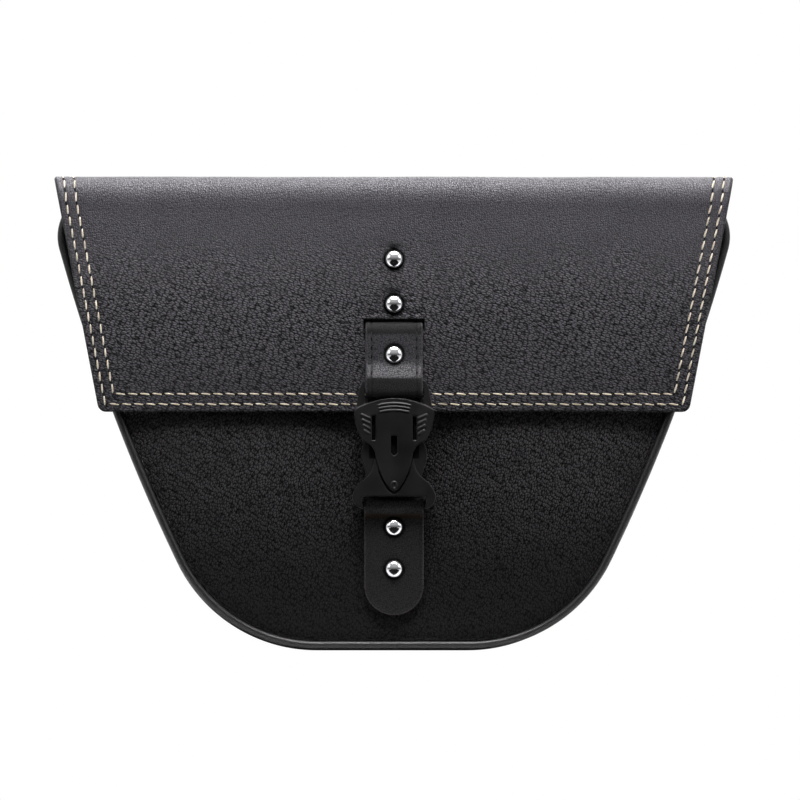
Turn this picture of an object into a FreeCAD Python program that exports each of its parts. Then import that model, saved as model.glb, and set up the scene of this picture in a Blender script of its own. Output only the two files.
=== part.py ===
"""A leather motorcycle saddlebag: stiffened body, fold-over flap, squeeze buckle and rear hanging straps.

Millimetres. X runs across the bag, +Y to the rear (the side that hangs on the machine), +Z up.
The origin is the middle of the base. Every size below is a cell of the spreadsheet "dims".
"""
import FreeCAD, Part
import math
import os

import Sketcher
from FreeCAD import Placement, Rotation, Vector

SIZES = {
    # body: the silhouette is a flat base, two corner arcs, two bowed sides and two mouth corners
    "half_depth": 50.0,
    "base_flat": 90.0,
    "corner_radius": 92.0,
    "side_radius": 1100.0,
    "mouth_centre_x": 170.0,
    "mouth_centre_z": 243.0,
    "mouth_radius": 28.0,
    "panel_thick": 2.0,
    "piping_radius": 2.4,
    "flange_thick": 1.2,
    "flange_reach": 12.0,
    "gusset_inset": 3.4,
    "gusset_thick": 2.0,
    "lining_thick": 0.8,
    "front_board_thick": 1.2,
    "back_board_thick": 2.0,
    "base_board_thick": 2.0,
    "base_board_angle": 38.0,
    "rim_drop": 7.0,
    "rim_half": 150.0,
    "binding_thick": 1.0,
    "binding_leg": 9.0,
    "seat_gap": 0.1,
    "run_gap": 0.3,
    # flap
    "flap_width": 400.0,
    "flap_bottom_width": 347.0,
    "flap_headroom": 7.0,
    "flap_drop": 138.6,
    "flap_stand_off": 4.5,
    "leather_thick": 2.0,
    "flap_lining_thick": 1.2,
    "fold_radius": 16.0,
    "flap_board_thick": 1.2,
    "flap_board_inset": 8.0,
    "top_lining_thick": 1.0,
    "flap_corner": 4.0,
    "hem_inset": 1.0,
    "tail_drop": 42.0,
    "tail_inset": 10.0,
    # strap on the flap
    "strap_width": 33.6,
    "strap_thick": 2.2,
    "hem_to_bar": 12.6,
    "strap_rivet_rise": 20.9,
    "strap_tuck_rise": 9.1,
    "slit_rise": 18.3,
    "slit_height": 7.6,
    "slit_slack": 0.8,
    "flap_rivet_rise": 11.7,
    "flap_rivet_pitch": 26.4,
    "strap_end_rise": 8.7,
    # rivets
    "rivet_head_radius": 5.3,
    "rivet_head_height": 3.4,
    "rivet_post_radius": 1.5,
    "rivet_hole_radius": 1.6,
    "washer_radius": 4.0,
    "washer_thick": 0.8,
    # buckle
    "bar_radius": 2.0,
    "buckle_unit": 1.0,
    "buckle_length": 67.0,
    "lower_bar_forward": 5.8,
    "buckle_half_width": 23.5,
    "buckle_waist_half": 10.8,
    "buckle_plate_thick": 2.5,
    "cavity_depth": 4.6,
    "arm_thick": 3.6,
    "arm_root_x": 13.5,
    "arm_root_rise": 15.0,
    "arm_root_radius": 2.2,
    "catch_drop": 24.0,
    "catch_slack": 1.6,
    "guide_half": 7.0,
    # lower tab
    "tab_width": 35.0,
    "tab_thick": 2.0,
    "tab_rivet_drop": 13.3,
    "tab_rivet_pitch": 24.7,
    "tab_tuck_drop": 11.0,
    "tab_end_drop": 27.0,
    # rear hanging straps
    "hanger_spacing": 200.0,
    "hanger_width": 25.0,
    "hanger_thick": 2.2,
    "hanger_drop": 39.0,
    "hanger_length": 136.0,
    "hanger_lap_drop": 54.0,
    "hanger_lap": 30.0,
    "bridge_height": 18.0,
    "bridge_thick": 2.0,
    "bridge_foot": 9.0,
    "bridge_drop": 27.0,
    "bridge_pitch": 85.0,
    "bridge_gap": 0.4,
    "bridge_side_gap": 1.0,
    "stud_radius": 6.0,
    "stud_rise": 2.6,
    "small_rivet_radius": 3.6,
    "small_rivet_rise": 1.6,
}

doc = FreeCAD.newDocument("saddlebag")
sheet = doc.addObject("Spreadsheet::Sheet", "dims")
for row, (alias, value) in enumerate(SIZES.items(), start=1):
    sheet.set(f"A{row}", alias)
    sheet.set(f"B{row}", str(value))
    sheet.setAlias(f"B{row}", alias)
doc.recompute()


def num(expression):
    """The value of an expression over the sheet's cells, such as 'dims.half_depth - 2'."""
    return float(sheet.evalExpression(expression))


# Places worked out from the driving sizes, kept as expressions so that the features can be bound to them.
FRONT = "-dims.half_depth"
BACK = "dims.half_depth"
PANEL_IN = "(dims.half_depth - dims.panel_thick)"
GUSSET_FRONT = f"({PANEL_IN} - dims.flange_thick)"
PIPING_Y = f"(-{GUSSET_FRONT} - dims.seat_gap - dims.piping_radius)"
OUTLINE_TOP = "(dims.mouth_centre_z + dims.mouth_radius)"
RIM = f"({OUTLINE_TOP} - dims.rim_drop)"
GUSSET_IN = "(dims.gusset_inset + dims.gusset_thick)"
INNER = f"({GUSSET_IN} + 2*dims.seat_gap)"
FRONT_LINING = f"(-{PANEL_IN} + dims.front_board_thick + dims.seat_gap)"
FRONT_LINED = f"({FRONT_LINING} + dims.lining_thick)"
BACK_LINED = f"({PANEL_IN} - dims.back_board_thick - dims.seat_gap - dims.lining_thick)"
SKIRT_BACK = "(-dims.half_depth - dims.flap_stand_off)"
SKIRT_MID = f"({SKIRT_BACK} - dims.flap_lining_thick)"
SKIRT_FRONT = f"({SKIRT_MID} - dims.leather_thick)"
FOLD_Y = f"({SKIRT_FRONT} + dims.fold_radius)"
FLAP_TOP = f"({OUTLINE_TOP} + dims.flap_headroom)"
FLAP_HEM = f"({FLAP_TOP} - dims.flap_drop)"
FOLD_Z = f"({FLAP_TOP} - dims.fold_radius)"
HINGE_Y = "(dims.half_depth + dims.seat_gap + dims.leather_thick/2)"
HINGE_Z = f"({FLAP_TOP} - dims.leather_thick/2)"
STRAP_REAR = f"({SKIRT_FRONT} - dims.run_gap - dims.strap_thick/2)"
STRAP_OUTER = f"({STRAP_REAR} - dims.strap_thick - dims.seat_gap)"
LOOP_R = "(dims.bar_radius + dims.seat_gap + dims.strap_thick/2)"
UPPER_BAR_Y = f"({STRAP_REAR} - {LOOP_R})"
TAB_REAR = f"({FRONT} - 2*dims.seat_gap - dims.tab_thick/2)"
TAB_OUTER = f"({TAB_REAR} - dims.tab_thick - dims.seat_gap)"
TAB_LOOP_R = "(dims.bar_radius + dims.seat_gap + dims.tab_thick/2)"
LOWER_BAR_Y = f"({TAB_REAR} - dims.lower_bar_forward)"
CAVITY_BACK = f"({SKIRT_FRONT} - 2*dims.run_gap)"
CAVITY_FRONT = f"({CAVITY_BACK} - dims.cavity_depth)"
PLATE_FRONT = f"({CAVITY_FRONT} - dims.buckle_plate_thick)"
PLUG_FRONT = f"({CAVITY_FRONT} + 1.3*dims.run_gap)"
ARM_FRONT = f"({CAVITY_FRONT} + 2*dims.run_gap)"
ARM_BACK = f"({ARM_FRONT} + dims.arm_thick)"
UPPER_BAR = f"({FLAP_HEM} + dims.hem_to_bar)"
LOWER_BAR = f"({UPPER_BAR} - dims.buckle_length)"
CATCH = f"({UPPER_BAR} - dims.catch_drop)"
ARM_ROOT = f"({LOWER_BAR} + dims.arm_root_rise)"
STRAP_RIVET = f"({UPPER_BAR} + dims.strap_rivet_rise)"
SLIT = f"({STRAP_RIVET} + dims.slit_rise)"
FLAP_RIVET_LOW = f"({SLIT} + dims.flap_rivet_rise)"
FLAP_RIVET_HIGH = f"({FLAP_RIVET_LOW} + dims.flap_rivet_pitch)"
TAB_RIVET_HIGH = f"({LOWER_BAR} - dims.tab_rivet_drop)"
TAB_RIVET_LOW = f"({TAB_RIVET_HIGH} - dims.tab_rivet_pitch)"
TAB_END = f"({TAB_RIVET_LOW} - dims.tab_end_drop)"
HANGER_TOP = f"({OUTLINE_TOP} - dims.hanger_drop)"
HANGER_LAP = f"({HANGER_TOP} - dims.hanger_lap_drop - dims.hanger_lap/2)"
BRIDGE_HIGH = f"({HANGER_TOP} - dims.bridge_drop)"
BRIDGE_LOW = f"({BRIDGE_HIGH} - dims.bridge_pitch)"
HANGER_IN = "(dims.half_depth + dims.bridge_gap + dims.hanger_thick/2)"


# ---------------------------------------------------------------- drawing helpers
def line(a, b):
    return Part.LineSegment(Vector(*a, 0), Vector(*b, 0))


def arc(centre, radius, start, end):
    """Anticlockwise from start to end, in degrees."""
    circle = Part.Circle(Vector(*centre, 0), Vector(0, 0, 1), radius)
    return Part.ArcOfCircle(circle, math.radians(start), math.radians(end))


def arc_through(a, mid, b):
    return Part.Arc(Vector(*a, 0), Vector(*mid, 0), Vector(*b, 0))


def circle(centre, radius):
    return Part.Circle(Vector(*centre, 0), Vector(0, 0, 1), radius)


def polygon(points):
    return [line(a, b) for a, b in zip(points, points[1:] + points[:1])]


def rectangle(x0, x1, z0, z1):
    return polygon([(x0, z0), (x1, z0), (x1, z1), (x0, z1)])


def mirrored(points):
    """A closed outline from its right half, listed from the top centre down."""
    return points + [(-x, z) for x, z in reversed(points) if x > 1e-9]


def new_body(name):
    body = doc.addObject("PartDesign::Body", name)
    body.Label = name
    return body


def sketch_on(body, plane, geometry, offset=None):
    """A sketch on one of the body's own planes, moved along that plane's normal by an expression."""
    sketch = body.newObject("Sketcher::SketchObject", f"{body.Name}_sketch")
    role = [f for f in body.Origin.OriginFeatures if f.Role == plane][0]
    sketch.AttachmentSupport = [(role, "")]
    sketch.MapMode = "FlatFace"
    if offset is not None:
        sketch.setExpression("AttachmentOffset.Base.z", offset)
    if geometry:
        sketch.addGeometry(geometry, False)
    return sketch


def pad(body, geometry, front, thick):
    """Pads a profile drawn in X and Z from y = front rearwards by thick."""
    sketch = sketch_on(body, "XZ_Plane", geometry, f"-({front} + {thick})")
    return pad_sketch(body, sketch, thick)


def pad_sketch(body, sketch, length, both_ways=False):
    feature = body.newObject("PartDesign::Pad", f"{body.Name}_pad")
    feature.Profile = sketch
    if both_ways:
        feature.SideType = "Symmetric"
    feature.setExpression("Length", length)
    return feature


def pocket(body, geometry, front, thick):
    """Cuts a profile drawn in X and Z from y = front rearwards by thick."""
    sketch = sketch_on(body, "XZ_Plane", geometry, f"-({front})")
    feature = body.newObject("PartDesign::Pocket", f"{body.Name}_pocket")
    feature.Profile = sketch
    feature.setExpression("Length", thick)
    return feature


def ribbon(path, thick, closed=False):
    """The outline of a strip of even thickness whose centreline has the corners (u, v, bend radius)."""
    corners = [(Vector(u, v, 0), r) for u, v, r in path]
    count = len(corners)
    runs, bends = [], []
    last = None
    for index in range(count if closed else count - 1):
        here, there = corners[index][0], corners[(index + 1) % count][0]
        runs.append((here, there, (there - here).normalize()))
    trims = [0.0] * count
    for index in range(count):
        if not closed and index in (0, count - 1):
            bends.append(None)
            continue
        before, after = runs[index - 1][2], runs[index % len(runs)][2]
        turn = math.atan2(before.x * after.y - before.y * after.x, before.dot(after))
        trims[index] = corners[index][1] * math.tan(abs(turn) / 2)
        bends.append((turn, corners[index][1]))
    sides = []
    for side in (1, -1):
        edges = []
        for index, (start, end, along) in enumerate(runs):
            shift = Vector(-along.y, along.x, 0) * (side * thick / 2)
            a = start + along * trims[index] + shift
            b = end - along * trims[(index + 1) % count] + shift
            if (b - a).Length > 1e-6:
                edges.append(Part.LineSegment(a, b))
            bend = bends[(index + 1) % count]
            if bend is None:
                continue
            turn, radius = bend
            hand = 1 if turn > 0 else -1
            across = Vector(-along.y, along.x, 0)
            centre = end - along * trims[(index + 1) % count] + across * (hand * radius)
            out = radius - hand * side * thick / 2
            first = math.atan2((b - centre).y, (b - centre).x)
            span = (first, first + turn) if turn > 0 else (first + turn, first)
            edges.append(Part.ArcOfCircle(Part.Circle(centre, Vector(0, 0, 1), out), *span))
        sides.append(edges)
        ends = (runs[0][0] + Vector(-runs[0][2].y, runs[0][2].x, 0) * (side * thick / 2),
                runs[-1][1] + Vector(-runs[-1][2].y, runs[-1][2].x, 0) * (side * thick / 2))
        last = (ends,) if last is None else last + (ends,)
    caps = [] if closed else [Part.LineSegment(last[0][k], last[1][k]) for k in (0, 1)]
    return sides[0] + sides[1] + caps


def strip(name, plane, path, thick, width):
    """A strip of leather: its bent centreline drawn on a plane, padded both ways to its width."""
    body = new_body(name)
    sketch = sketch_on(body, plane, ribbon(path, num(thick)))
    pad_sketch(body, sketch, width, both_ways=True)
    return body


# ---------------------------------------------------------------- the bag's silhouette
def side_angles():
    """Centre of the bowed side and the directions in which it meets the base and mouth corners."""
    low = Vector(num("dims.base_flat/2"), num("dims.corner_radius"), 0)
    high = Vector(num("dims.mouth_centre_x"), num("dims.mouth_centre_z"), 0)
    bow = num("dims.side_radius")
    reach_low, reach_high = bow - num("dims.corner_radius"), bow - num("dims.mouth_radius")
    gap = high - low
    along = (reach_low**2 - reach_high**2 + gap.Length**2) / (2 * gap.Length)
    across = math.sqrt(reach_low**2 - along**2)
    unit = Vector(gap).normalize()
    centre = low + unit * along + Vector(-unit.y, unit.x, 0) * across
    angle_low = math.degrees(math.atan2(low.y - centre.y, low.x - centre.x))
    angle_high = math.degrees(math.atan2(high.y - centre.y, high.x - centre.x))
    return centre, angle_low, angle_high


def u_chain(inset):
    """Left mouth corner, left side, left base corner, base, and the same up the right: an open U."""
    centre, low, high = side_angles()
    corner, bow = num("dims.corner_radius") - inset, num("dims.side_radius") - inset
    mouth = num("dims.mouth_radius") - inset
    flat, base = num("dims.base_flat/2"), num("dims.corner_radius")
    mouth_x, mouth_z = num("dims.mouth_centre_x"), num("dims.mouth_centre_z")
    return [
        arc((-mouth_x, mouth_z), mouth, 90, 180 - high),
        arc((-centre.x, centre.y), bow, 180 - high, 180 - low),
        arc((-flat, base), corner, 180 - low, 270),
        line((-flat, inset), (flat, inset)),
        arc((flat, base), corner, -90, low),
        arc((centre.x, centre.y), bow, low, high),
        arc((mouth_x, mouth_z), mouth, high, 90),
    ]


def add_u(sketch, inset):
    """Draws the U at an inset and ties it to the sheet: arc centres, radii, tangent joints and ends."""
    first = sketch.GeometryCount
    sketch.addGeometry(u_chain(num(inset)), False)
    start, end, centre = 1, 2, 3
    joints = [(0, end, 1, start), (1, end, 2, start), (2, end, 3, start), (3, end, 4, start),
              (4, end, 5, start), (5, end, 6, start)]
    for a, a_end, b, b_end in joints:
        sketch.addConstraint(Sketcher.Constraint("Tangent", first + a, a_end, first + b, b_end))
    places = {
        0: ("-1", "dims.mouth_centre_x", "dims.mouth_centre_z"),
        2: ("-1", "dims.base_flat/2", "dims.corner_radius"),
        4: ("1", "dims.base_flat/2", "dims.corner_radius"),
        6: ("1", "dims.mouth_centre_x", "dims.mouth_centre_z"),
    }
    for index, (hand, x, z) in places.items():
        ends = (first + index, centre, -1, 1) if hand == "-1" else (-1, 1, first + index, centre)
        bind(sketch, Sketcher.Constraint("DistanceX", *ends, num(x)), x)
        bind(sketch, Sketcher.Constraint("DistanceY", -1, 1, first + index, centre, num(z)), z)
    radii = {0: "dims.mouth_radius", 1: "dims.side_radius", 2: "dims.corner_radius",
             4: "dims.corner_radius", 5: "dims.side_radius", 6: "dims.mouth_radius"}
    for index, radius in radii.items():
        expression = f"{radius} - ({inset})"
        bind(sketch, Sketcher.Constraint("Radius", first + index, num(expression)), expression)
    sketch.addConstraint(Sketcher.Constraint("Vertical", first + 0, start, first + 0, centre))
    sketch.addConstraint(Sketcher.Constraint("Vertical", first + 6, end, first + 6, centre))
    return first


def bind(sketch, constraint, expression):
    index = sketch.addConstraint(constraint)
    sketch.setExpression(f"Constraints[{index}]", expression)


def close_u(sketch, first, other=None):
    """Closes a U with a straight top, or joins two Us end to end."""
    start, end = 1, 2
    if other is None:
        pairs = [((first, start), (first + 6, end))]
    else:
        pairs = [((first, start), (other, start)), ((first + 6, end), (other + 6, end))]
    for (a, a_end), (b, b_end) in pairs:
        near, far = sketch.getPoint(a, a_end), sketch.getPoint(b, b_end)
        here = sketch.addGeometry(Part.LineSegment(near, far), False)
        sketch.addConstraint(Sketcher.Constraint("Coincident", here, start, a, a_end))
        sketch.addConstraint(Sketcher.Constraint("Coincident", here, end, b, b_end))


def sheet_panel(name, inset, front, thick):
    """A flat panel with the bag's silhouette, set in from it."""
    body = new_body(name)
    sketch = sketch_on(body, "XZ_Plane", [], f"-({front} + {thick})")
    close_u(sketch, add_u(sketch, inset))
    pad_sketch(body, sketch, thick)
    return body


def band(body, outer, inner, front, thick):
    """A U-shaped band between two insets of the silhouette."""
    sketch = sketch_on(body, "XZ_Plane", [], f"-({front} + {thick})")
    close_u(sketch, add_u(sketch, outer), add_u(sketch, inner))
    return pad_sketch(body, sketch, thick)


def cut_rim(body, front, thick):
    """Lowers the middle of a front panel's top edge to the rim."""
    half, low, high = num("dims.rim_half"), num(RIM), num(OUTLINE_TOP)
    pocket(body, rectangle(-half, half, low, high + 5), front, thick)


def punch(body, holes, front, thick, radius="dims.rivet_hole_radius"):
    """Round rivet holes through a panel, at a list of (x, z)."""
    pocket(body, [circle(at, num(radius)) for at in holes], front, thick)


TAB_HOLES = [(0, num(TAB_RIVET_HIGH)), (0, num(TAB_RIVET_LOW))]
FLAP_HOLES = [(0, num(FLAP_RIVET_HIGH)), (0, num(FLAP_RIVET_LOW)), (0, num(STRAP_RIVET))]


BRIDGE_CLEAR = num("dims.hanger_width/2 + dims.bridge_side_gap")
BRIDGE_HOLE = BRIDGE_CLEAR + num("dims.bridge_thick + dims.bridge_foot/2")


def bridge_holes():
    half = num("dims.hanger_spacing/2")
    return [(side * half + hand * BRIDGE_HOLE, num(high))
            for side in (-1, 1) for high in (BRIDGE_HIGH, BRIDGE_LOW) for hand in (-1, 1)]


# ---------------------------------------------------------------- body of the bag
def make_front():
    edge = "(2*dims.piping_radius + dims.seat_gap)"
    panel = sheet_panel("front_panel", edge, FRONT, "dims.panel_thick")
    cut_rim(panel, FRONT, "dims.panel_thick")
    punch(panel, TAB_HOLES, FRONT, "dims.panel_thick")

    reach = "(dims.flange_reach + dims.seat_gap)"
    board = sheet_panel("front_board", reach, f"-{PANEL_IN}", "dims.front_board_thick")
    half, shoulder = num("dims.rim_half"), num(f"{OUTLINE_TOP} - dims.flange_reach - 1")
    pad(board, rectangle(-half, half, shoulder, num(RIM)), f"-{PANEL_IN}", "dims.front_board_thick")
    punch(board, TAB_HOLES, f"-{PANEL_IN}", "dims.front_board_thick")

    lining = sheet_panel("front_lining", INNER, FRONT_LINING, "dims.lining_thick")
    cut_rim(lining, FRONT_LINING, "dims.lining_thick")
    punch(lining, TAB_HOLES, FRONT_LINING, "dims.lining_thick")

    # piping: a round cord in leather, with the flat flange that is caught in the seam
    piping = new_body("front_piping")
    band(piping, "dims.piping_radius", "dims.flange_reach", f"-{PANEL_IN}", "dims.flange_thick")
    path = sketch_on(piping, "XZ_Plane", [], f"-({PIPING_Y})")
    add_u(path, "dims.piping_radius")
    tube_z = num(f"{OUTLINE_TOP} - dims.piping_radius")
    section = sketch_on(piping, "YZ_Plane", [circle((num(PIPING_Y), tube_z),
                                                    num("dims.piping_radius"))], "-dims.mouth_centre_x")
    pipe = piping.newObject("PartDesign::AdditivePipe", "front_piping_cord")
    pipe.Profile = section
    pipe.Spine = (path, [f"Edge{n + 1}" for n in range(7)])

    # leather tape folded over the front rim
    outer = num(f"{FRONT} - dims.seat_gap - dims.binding_thick/2")
    inner = num(f"{FRONT_LINED} + dims.seat_gap + dims.binding_thick/2")
    top, leg = num(f"{RIM} + dims.seat_gap + dims.binding_thick/2"), num(f"{RIM} - dims.binding_leg")
    bend = num("dims.binding_thick/2 + 0.2")
    path = [(outer, leg, 0), (outer, top, bend), (inner, top, bend), (inner, leg, 0)]
    strip("rim_binding", "YZ_Plane", path,
          "dims.binding_thick", "2*dims.rim_half - 2*dims.run_gap")


def make_gusset_and_back():
    gusset = new_body("gusset_band")
    band(gusset, "dims.gusset_inset", GUSSET_IN, f"-{GUSSET_FRONT}", f"2*{GUSSET_FRONT}")
    band(gusset, "0*dims.seat_gap", GUSSET_IN, GUSSET_FRONT, "dims.flange_thick")

    lining = new_body("gusset_lining")
    band(lining, f"{GUSSET_IN} + dims.seat_gap", f"{GUSSET_IN} + dims.seat_gap + dims.lining_thick",
         f"{FRONT_LINED} + dims.seat_gap", f"({BACK_LINED} - {FRONT_LINED} - 2*dims.seat_gap)")

    back = sheet_panel("back_panel", "0*dims.seat_gap", PANEL_IN, "dims.panel_thick")
    punch(back, bridge_holes(), PANEL_IN, "dims.panel_thick")
    board_front = f"({PANEL_IN} - dims.back_board_thick)"
    board = sheet_panel("back_board", INNER, board_front, "dims.back_board_thick")
    punch(board, bridge_holes(), board_front, "dims.back_board_thick")
    back_lining = sheet_panel("back_lining", INNER, BACK_LINED, "dims.lining_thick")
    punch(back_lining, bridge_holes(), BACK_LINED, "dims.lining_thick")

    # base board: a stiffener on the lining, turned up into both base corners
    base = new_body("base_board")
    outer = num(f"{GUSSET_IN} + 2*dims.seat_gap + dims.lining_thick")
    inner = outer + num("dims.base_board_thick")
    flat, centre, wrap = num("dims.base_flat/2"), num("dims.corner_radius"), num("dims.base_board_angle")
    profile = []
    for inset in (outer, inner):
        radius = centre - inset
        profile += [arc((-flat, centre), radius, 270 - wrap, 270), line((-flat, inset), (flat, inset)),
                    arc((flat, centre), radius, -90, wrap - 90)]
    for side in (-1, 1):
        tip = [(side * (flat + (centre - inset) * math.sin(math.radians(wrap))),
                centre - (centre - inset) * math.cos(math.radians(wrap))) for inset in (outer, inner)]
        profile.append(line(*tip))
    deep = f"({BACK_LINED} - {FRONT_LINED} - 4*dims.seat_gap)"
    pad(base, profile, f"({FRONT_LINED} + 2*dims.seat_gap)", deep)


# ---------------------------------------------------------------- flap
def make_flap():
    top = new_body("flap_top")
    hinge_y, hinge_z, half = num(HINGE_Y), num(HINGE_Z), num("dims.leather_thick/2")
    fold_y = num(FOLD_Y)
    sketch = sketch_on(top, "YZ_Plane", [
        line((fold_y, hinge_z - half), (hinge_y, hinge_z - half)),
        arc((hinge_y, hinge_z), half, -90, 90),
        line((hinge_y, hinge_z + half), (fold_y, hinge_z + half)),
        line((fold_y, hinge_z + half), (fold_y, hinge_z - half)),
    ])
    pad_sketch(top, sketch, "dims.flap_width", both_ways=True)

    under = num(f"{FLAP_TOP} - dims.leather_thick")
    inset = num("dims.flap_board_inset")
    middle = under - num("dims.flap_board_thick")
    low = middle - num("dims.top_lining_thick")
    layers = {
        "flap_board": (inset, middle, under, inset / 2, "dims.flap_width - 2*dims.flap_board_inset"),
        "flap_top_lining": (inset / 4, low, middle, inset / 2, "dims.flap_width - dims.flap_board_inset"),
    }
    for name, (front_gap, low, high, back_gap, width) in layers.items():
        layer = new_body(name)
        rear = num(PANEL_IN) - back_gap + 2
        section = sketch_on(layer, "YZ_Plane", rectangle(fold_y + front_gap, rear, low, high))
        pad_sketch(layer, section, width, both_ways=True)

    # rolled front edge between the top and the skirt
    fold = new_body("flap_fold")
    fold_z, outer = num(FOLD_Z), num("dims.fold_radius")
    inner = outer - num("dims.leather_thick + dims.flap_lining_thick")
    sketch = sketch_on(fold, "YZ_Plane", [
        arc((fold_y, fold_z), outer, 90, 180), arc((fold_y, fold_z), inner, 90, 180),
        line((fold_y, fold_z + inner), (fold_y, fold_z + outer)),
        line((fold_y - inner, fold_z), (fold_y - outer, fold_z)),
    ])
    pad_sketch(fold, sketch, "dims.flap_width", both_ways=True)

    for name, thick, front, inset in (("flap_skirt", "dims.leather_thick", SKIRT_FRONT, 0.0),
                                      ("flap_skirt_lining", "dims.flap_lining_thick", SKIRT_MID,
                                       num("dims.hem_inset"))):
        layer = new_body(name)
        pad(layer, skirt_outline(inset), front, thick)
        half = num("dims.strap_width/2 + dims.slit_slack")
        low, high = num(f"{SLIT} - dims.slit_height/2"), num(f"{SLIT} + dims.slit_height/2")
        pocket(layer, rectangle(-half, half, low, high), front, thick)
        punch(layer, FLAP_HOLES, front, thick)

    tail = new_body("flap_tail")
    half = num("dims.flap_width/2 - dims.tail_inset")
    low, high = num(f"{FLAP_TOP} - dims.tail_drop"), num(f"{HINGE_Z} - dims.leather_thick/2 - dims.run_gap")
    pad(tail, rectangle(-half, half, low, high),
        f"({BACK} + dims.seat_gap)", "dims.leather_thick")


def skirt_outline(inset):
    """The skirt tapers to its hem, where the corners are rounded."""
    top, low = num(FOLD_Z), num(FLAP_HEM) + inset
    wide, narrow = num("dims.flap_width/2") - inset, num("dims.flap_bottom_width/2") - inset
    radius = num("dims.flap_corner")
    lean = math.degrees(math.atan2(wide - narrow, top - low))
    back_off = radius * math.tan(math.radians((90 - lean) / 2))
    slope = Vector(math.sin(math.radians(lean)), math.cos(math.radians(lean)), 0)
    centre = (narrow - back_off, low + radius)
    foot = (narrow + slope.x * back_off, low + slope.y * back_off)
    return [
        line((-wide, top), (wide, top)), line((wide, top), foot), arc(centre, radius, -90, -lean),
        line((narrow - back_off, low), (back_off - narrow, low)),
        arc((-centre[0], centre[1]), radius, 180 + lean, 270), line((-foot[0], foot[1]), (-wide, top)),
    ]


# ---------------------------------------------------------------- strap and tab
def make_strap():
    """Riveted behind the skirt, out through the slit, round the buckle's bar and back up behind itself."""
    thick, loop = num("dims.strap_thick"), num(LOOP_R)
    hidden = num(f"{SKIRT_BACK} + dims.seat_gap") + thick / 2
    outer, rear, bar_y = num(STRAP_OUTER), num(STRAP_REAR), num(UPPER_BAR_Y)
    slit, bar = num(SLIT), num(UPPER_BAR)
    path = [
        (hidden, num(f"{FLAP_RIVET_HIGH} + dims.strap_end_rise"), 0),
        (hidden, slit + 0.9 * thick, 1.1 * thick),
        (outer, slit - 0.7 * thick, 1.1 * thick),
        (outer, bar + 4.2 * loop, 2.5 * loop),
        (bar_y - loop, bar + 1.7 * loop, 1.9 * loop),
        (bar_y - loop, bar - loop, loop),
        (rear, bar - loop, loop),
        (rear, num(f"{STRAP_RIVET} + dims.strap_tuck_rise"), 0),
    ]
    strap = strip("closure_strap", "YZ_Plane", path, "dims.strap_thick", "dims.strap_width")
    punch(strap, FLAP_HOLES[:2], f"({SKIRT_BACK} - dims.strap_thick)", "4*dims.strap_thick")
    punch(strap, FLAP_HOLES[2:], f"({STRAP_OUTER} - 2*dims.strap_thick)", "4*dims.strap_thick")


def make_tab():
    """Doubled leather tab riveted to the front panel, with the buckle's lower bar in its fold."""
    outer, rear, bar_y, bar = num(TAB_OUTER), num(TAB_REAR), num(LOWER_BAR_Y), num(LOWER_BAR)
    loop, half, end = num(TAB_LOOP_R), num("dims.tab_width/2"), num(TAB_END)
    path = [
        (rear, num(f"{TAB_RIVET_LOW} - dims.tab_tuck_drop"), 0),
        (rear, bar - 1.5 * loop, 0.65 * loop),
        (bar_y + loop, bar - 0.45 * loop, 0.65 * loop),
        (bar_y + loop, bar + loop, loop),
        (bar_y - loop, bar + loop, loop),
        (bar_y - loop, bar - 0.58 * loop, loop),
        (outer, bar - 2.03 * loop, loop),
        (outer, end - half, 0),
    ]
    tab = strip("closure_tab", "YZ_Plane", path, "dims.tab_thick", "dims.tab_width")
    round_end(tab, half, end)
    punch(tab, TAB_HOLES, f"({TAB_OUTER} - dims.tab_thick)", "4*dims.tab_thick")


def round_end(tab, half, end):
    """Trims the tab's free end to a half circle."""
    side, spring, below = 1.3 * half, end + half, end - 1.3 * half
    outline = [
        line((-half, spring), (-side, spring)),
        line((-side, spring), (-side, below)),
        line((-side, below), (side, below)),
        line((side, below), (side, spring)),
        line((side, spring), (half, spring)),
        arc((0, spring), half, 180, 360),
    ]
    pocket(tab, outline, f"({TAB_OUTER} - dims.tab_thick)", "3*dims.tab_thick")


# ---------------------------------------------------------------- rivets
def turned(name, half_profile, x, z):
    """A piece turned about an axis along Y through (x, z), from its half profile in (radius, y)."""
    body = new_body(name)
    sketch = sketch_on(body, "XY_Plane", half_profile)
    feature = body.newObject("PartDesign::Revolution", f"{name}_turn")
    feature.Profile = sketch
    feature.ReferenceAxis = (sketch, ["V_Axis"])
    body.Placement = Placement(Vector(x, 0, z), Rotation())
    return body


def dome(face, radius, height, post, end):
    """Half profile of a domed head on a face (towards -Y if end lies behind it), with its post."""
    out = -1 if end > face else 1
    ball = (radius**2 + height**2) / (2 * height)
    mid = math.radians(45)
    lean = mid * radius / ball
    crown = (ball * math.sin(lean), face + out * (height - ball + ball * math.cos(lean)))
    return [
        line((0, face + out * height), (0, end)),
        line((0, end), (post, end)),
        line((post, end), (post, face)),
        line((post, face), (radius, face)), arc_through((radius, face), crown, (0, face + out * height)),
    ]


def washer(near, far, radius, bore):
    return polygon([(bore, near), (radius, near), (radius, far), (bore, far)])


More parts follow.
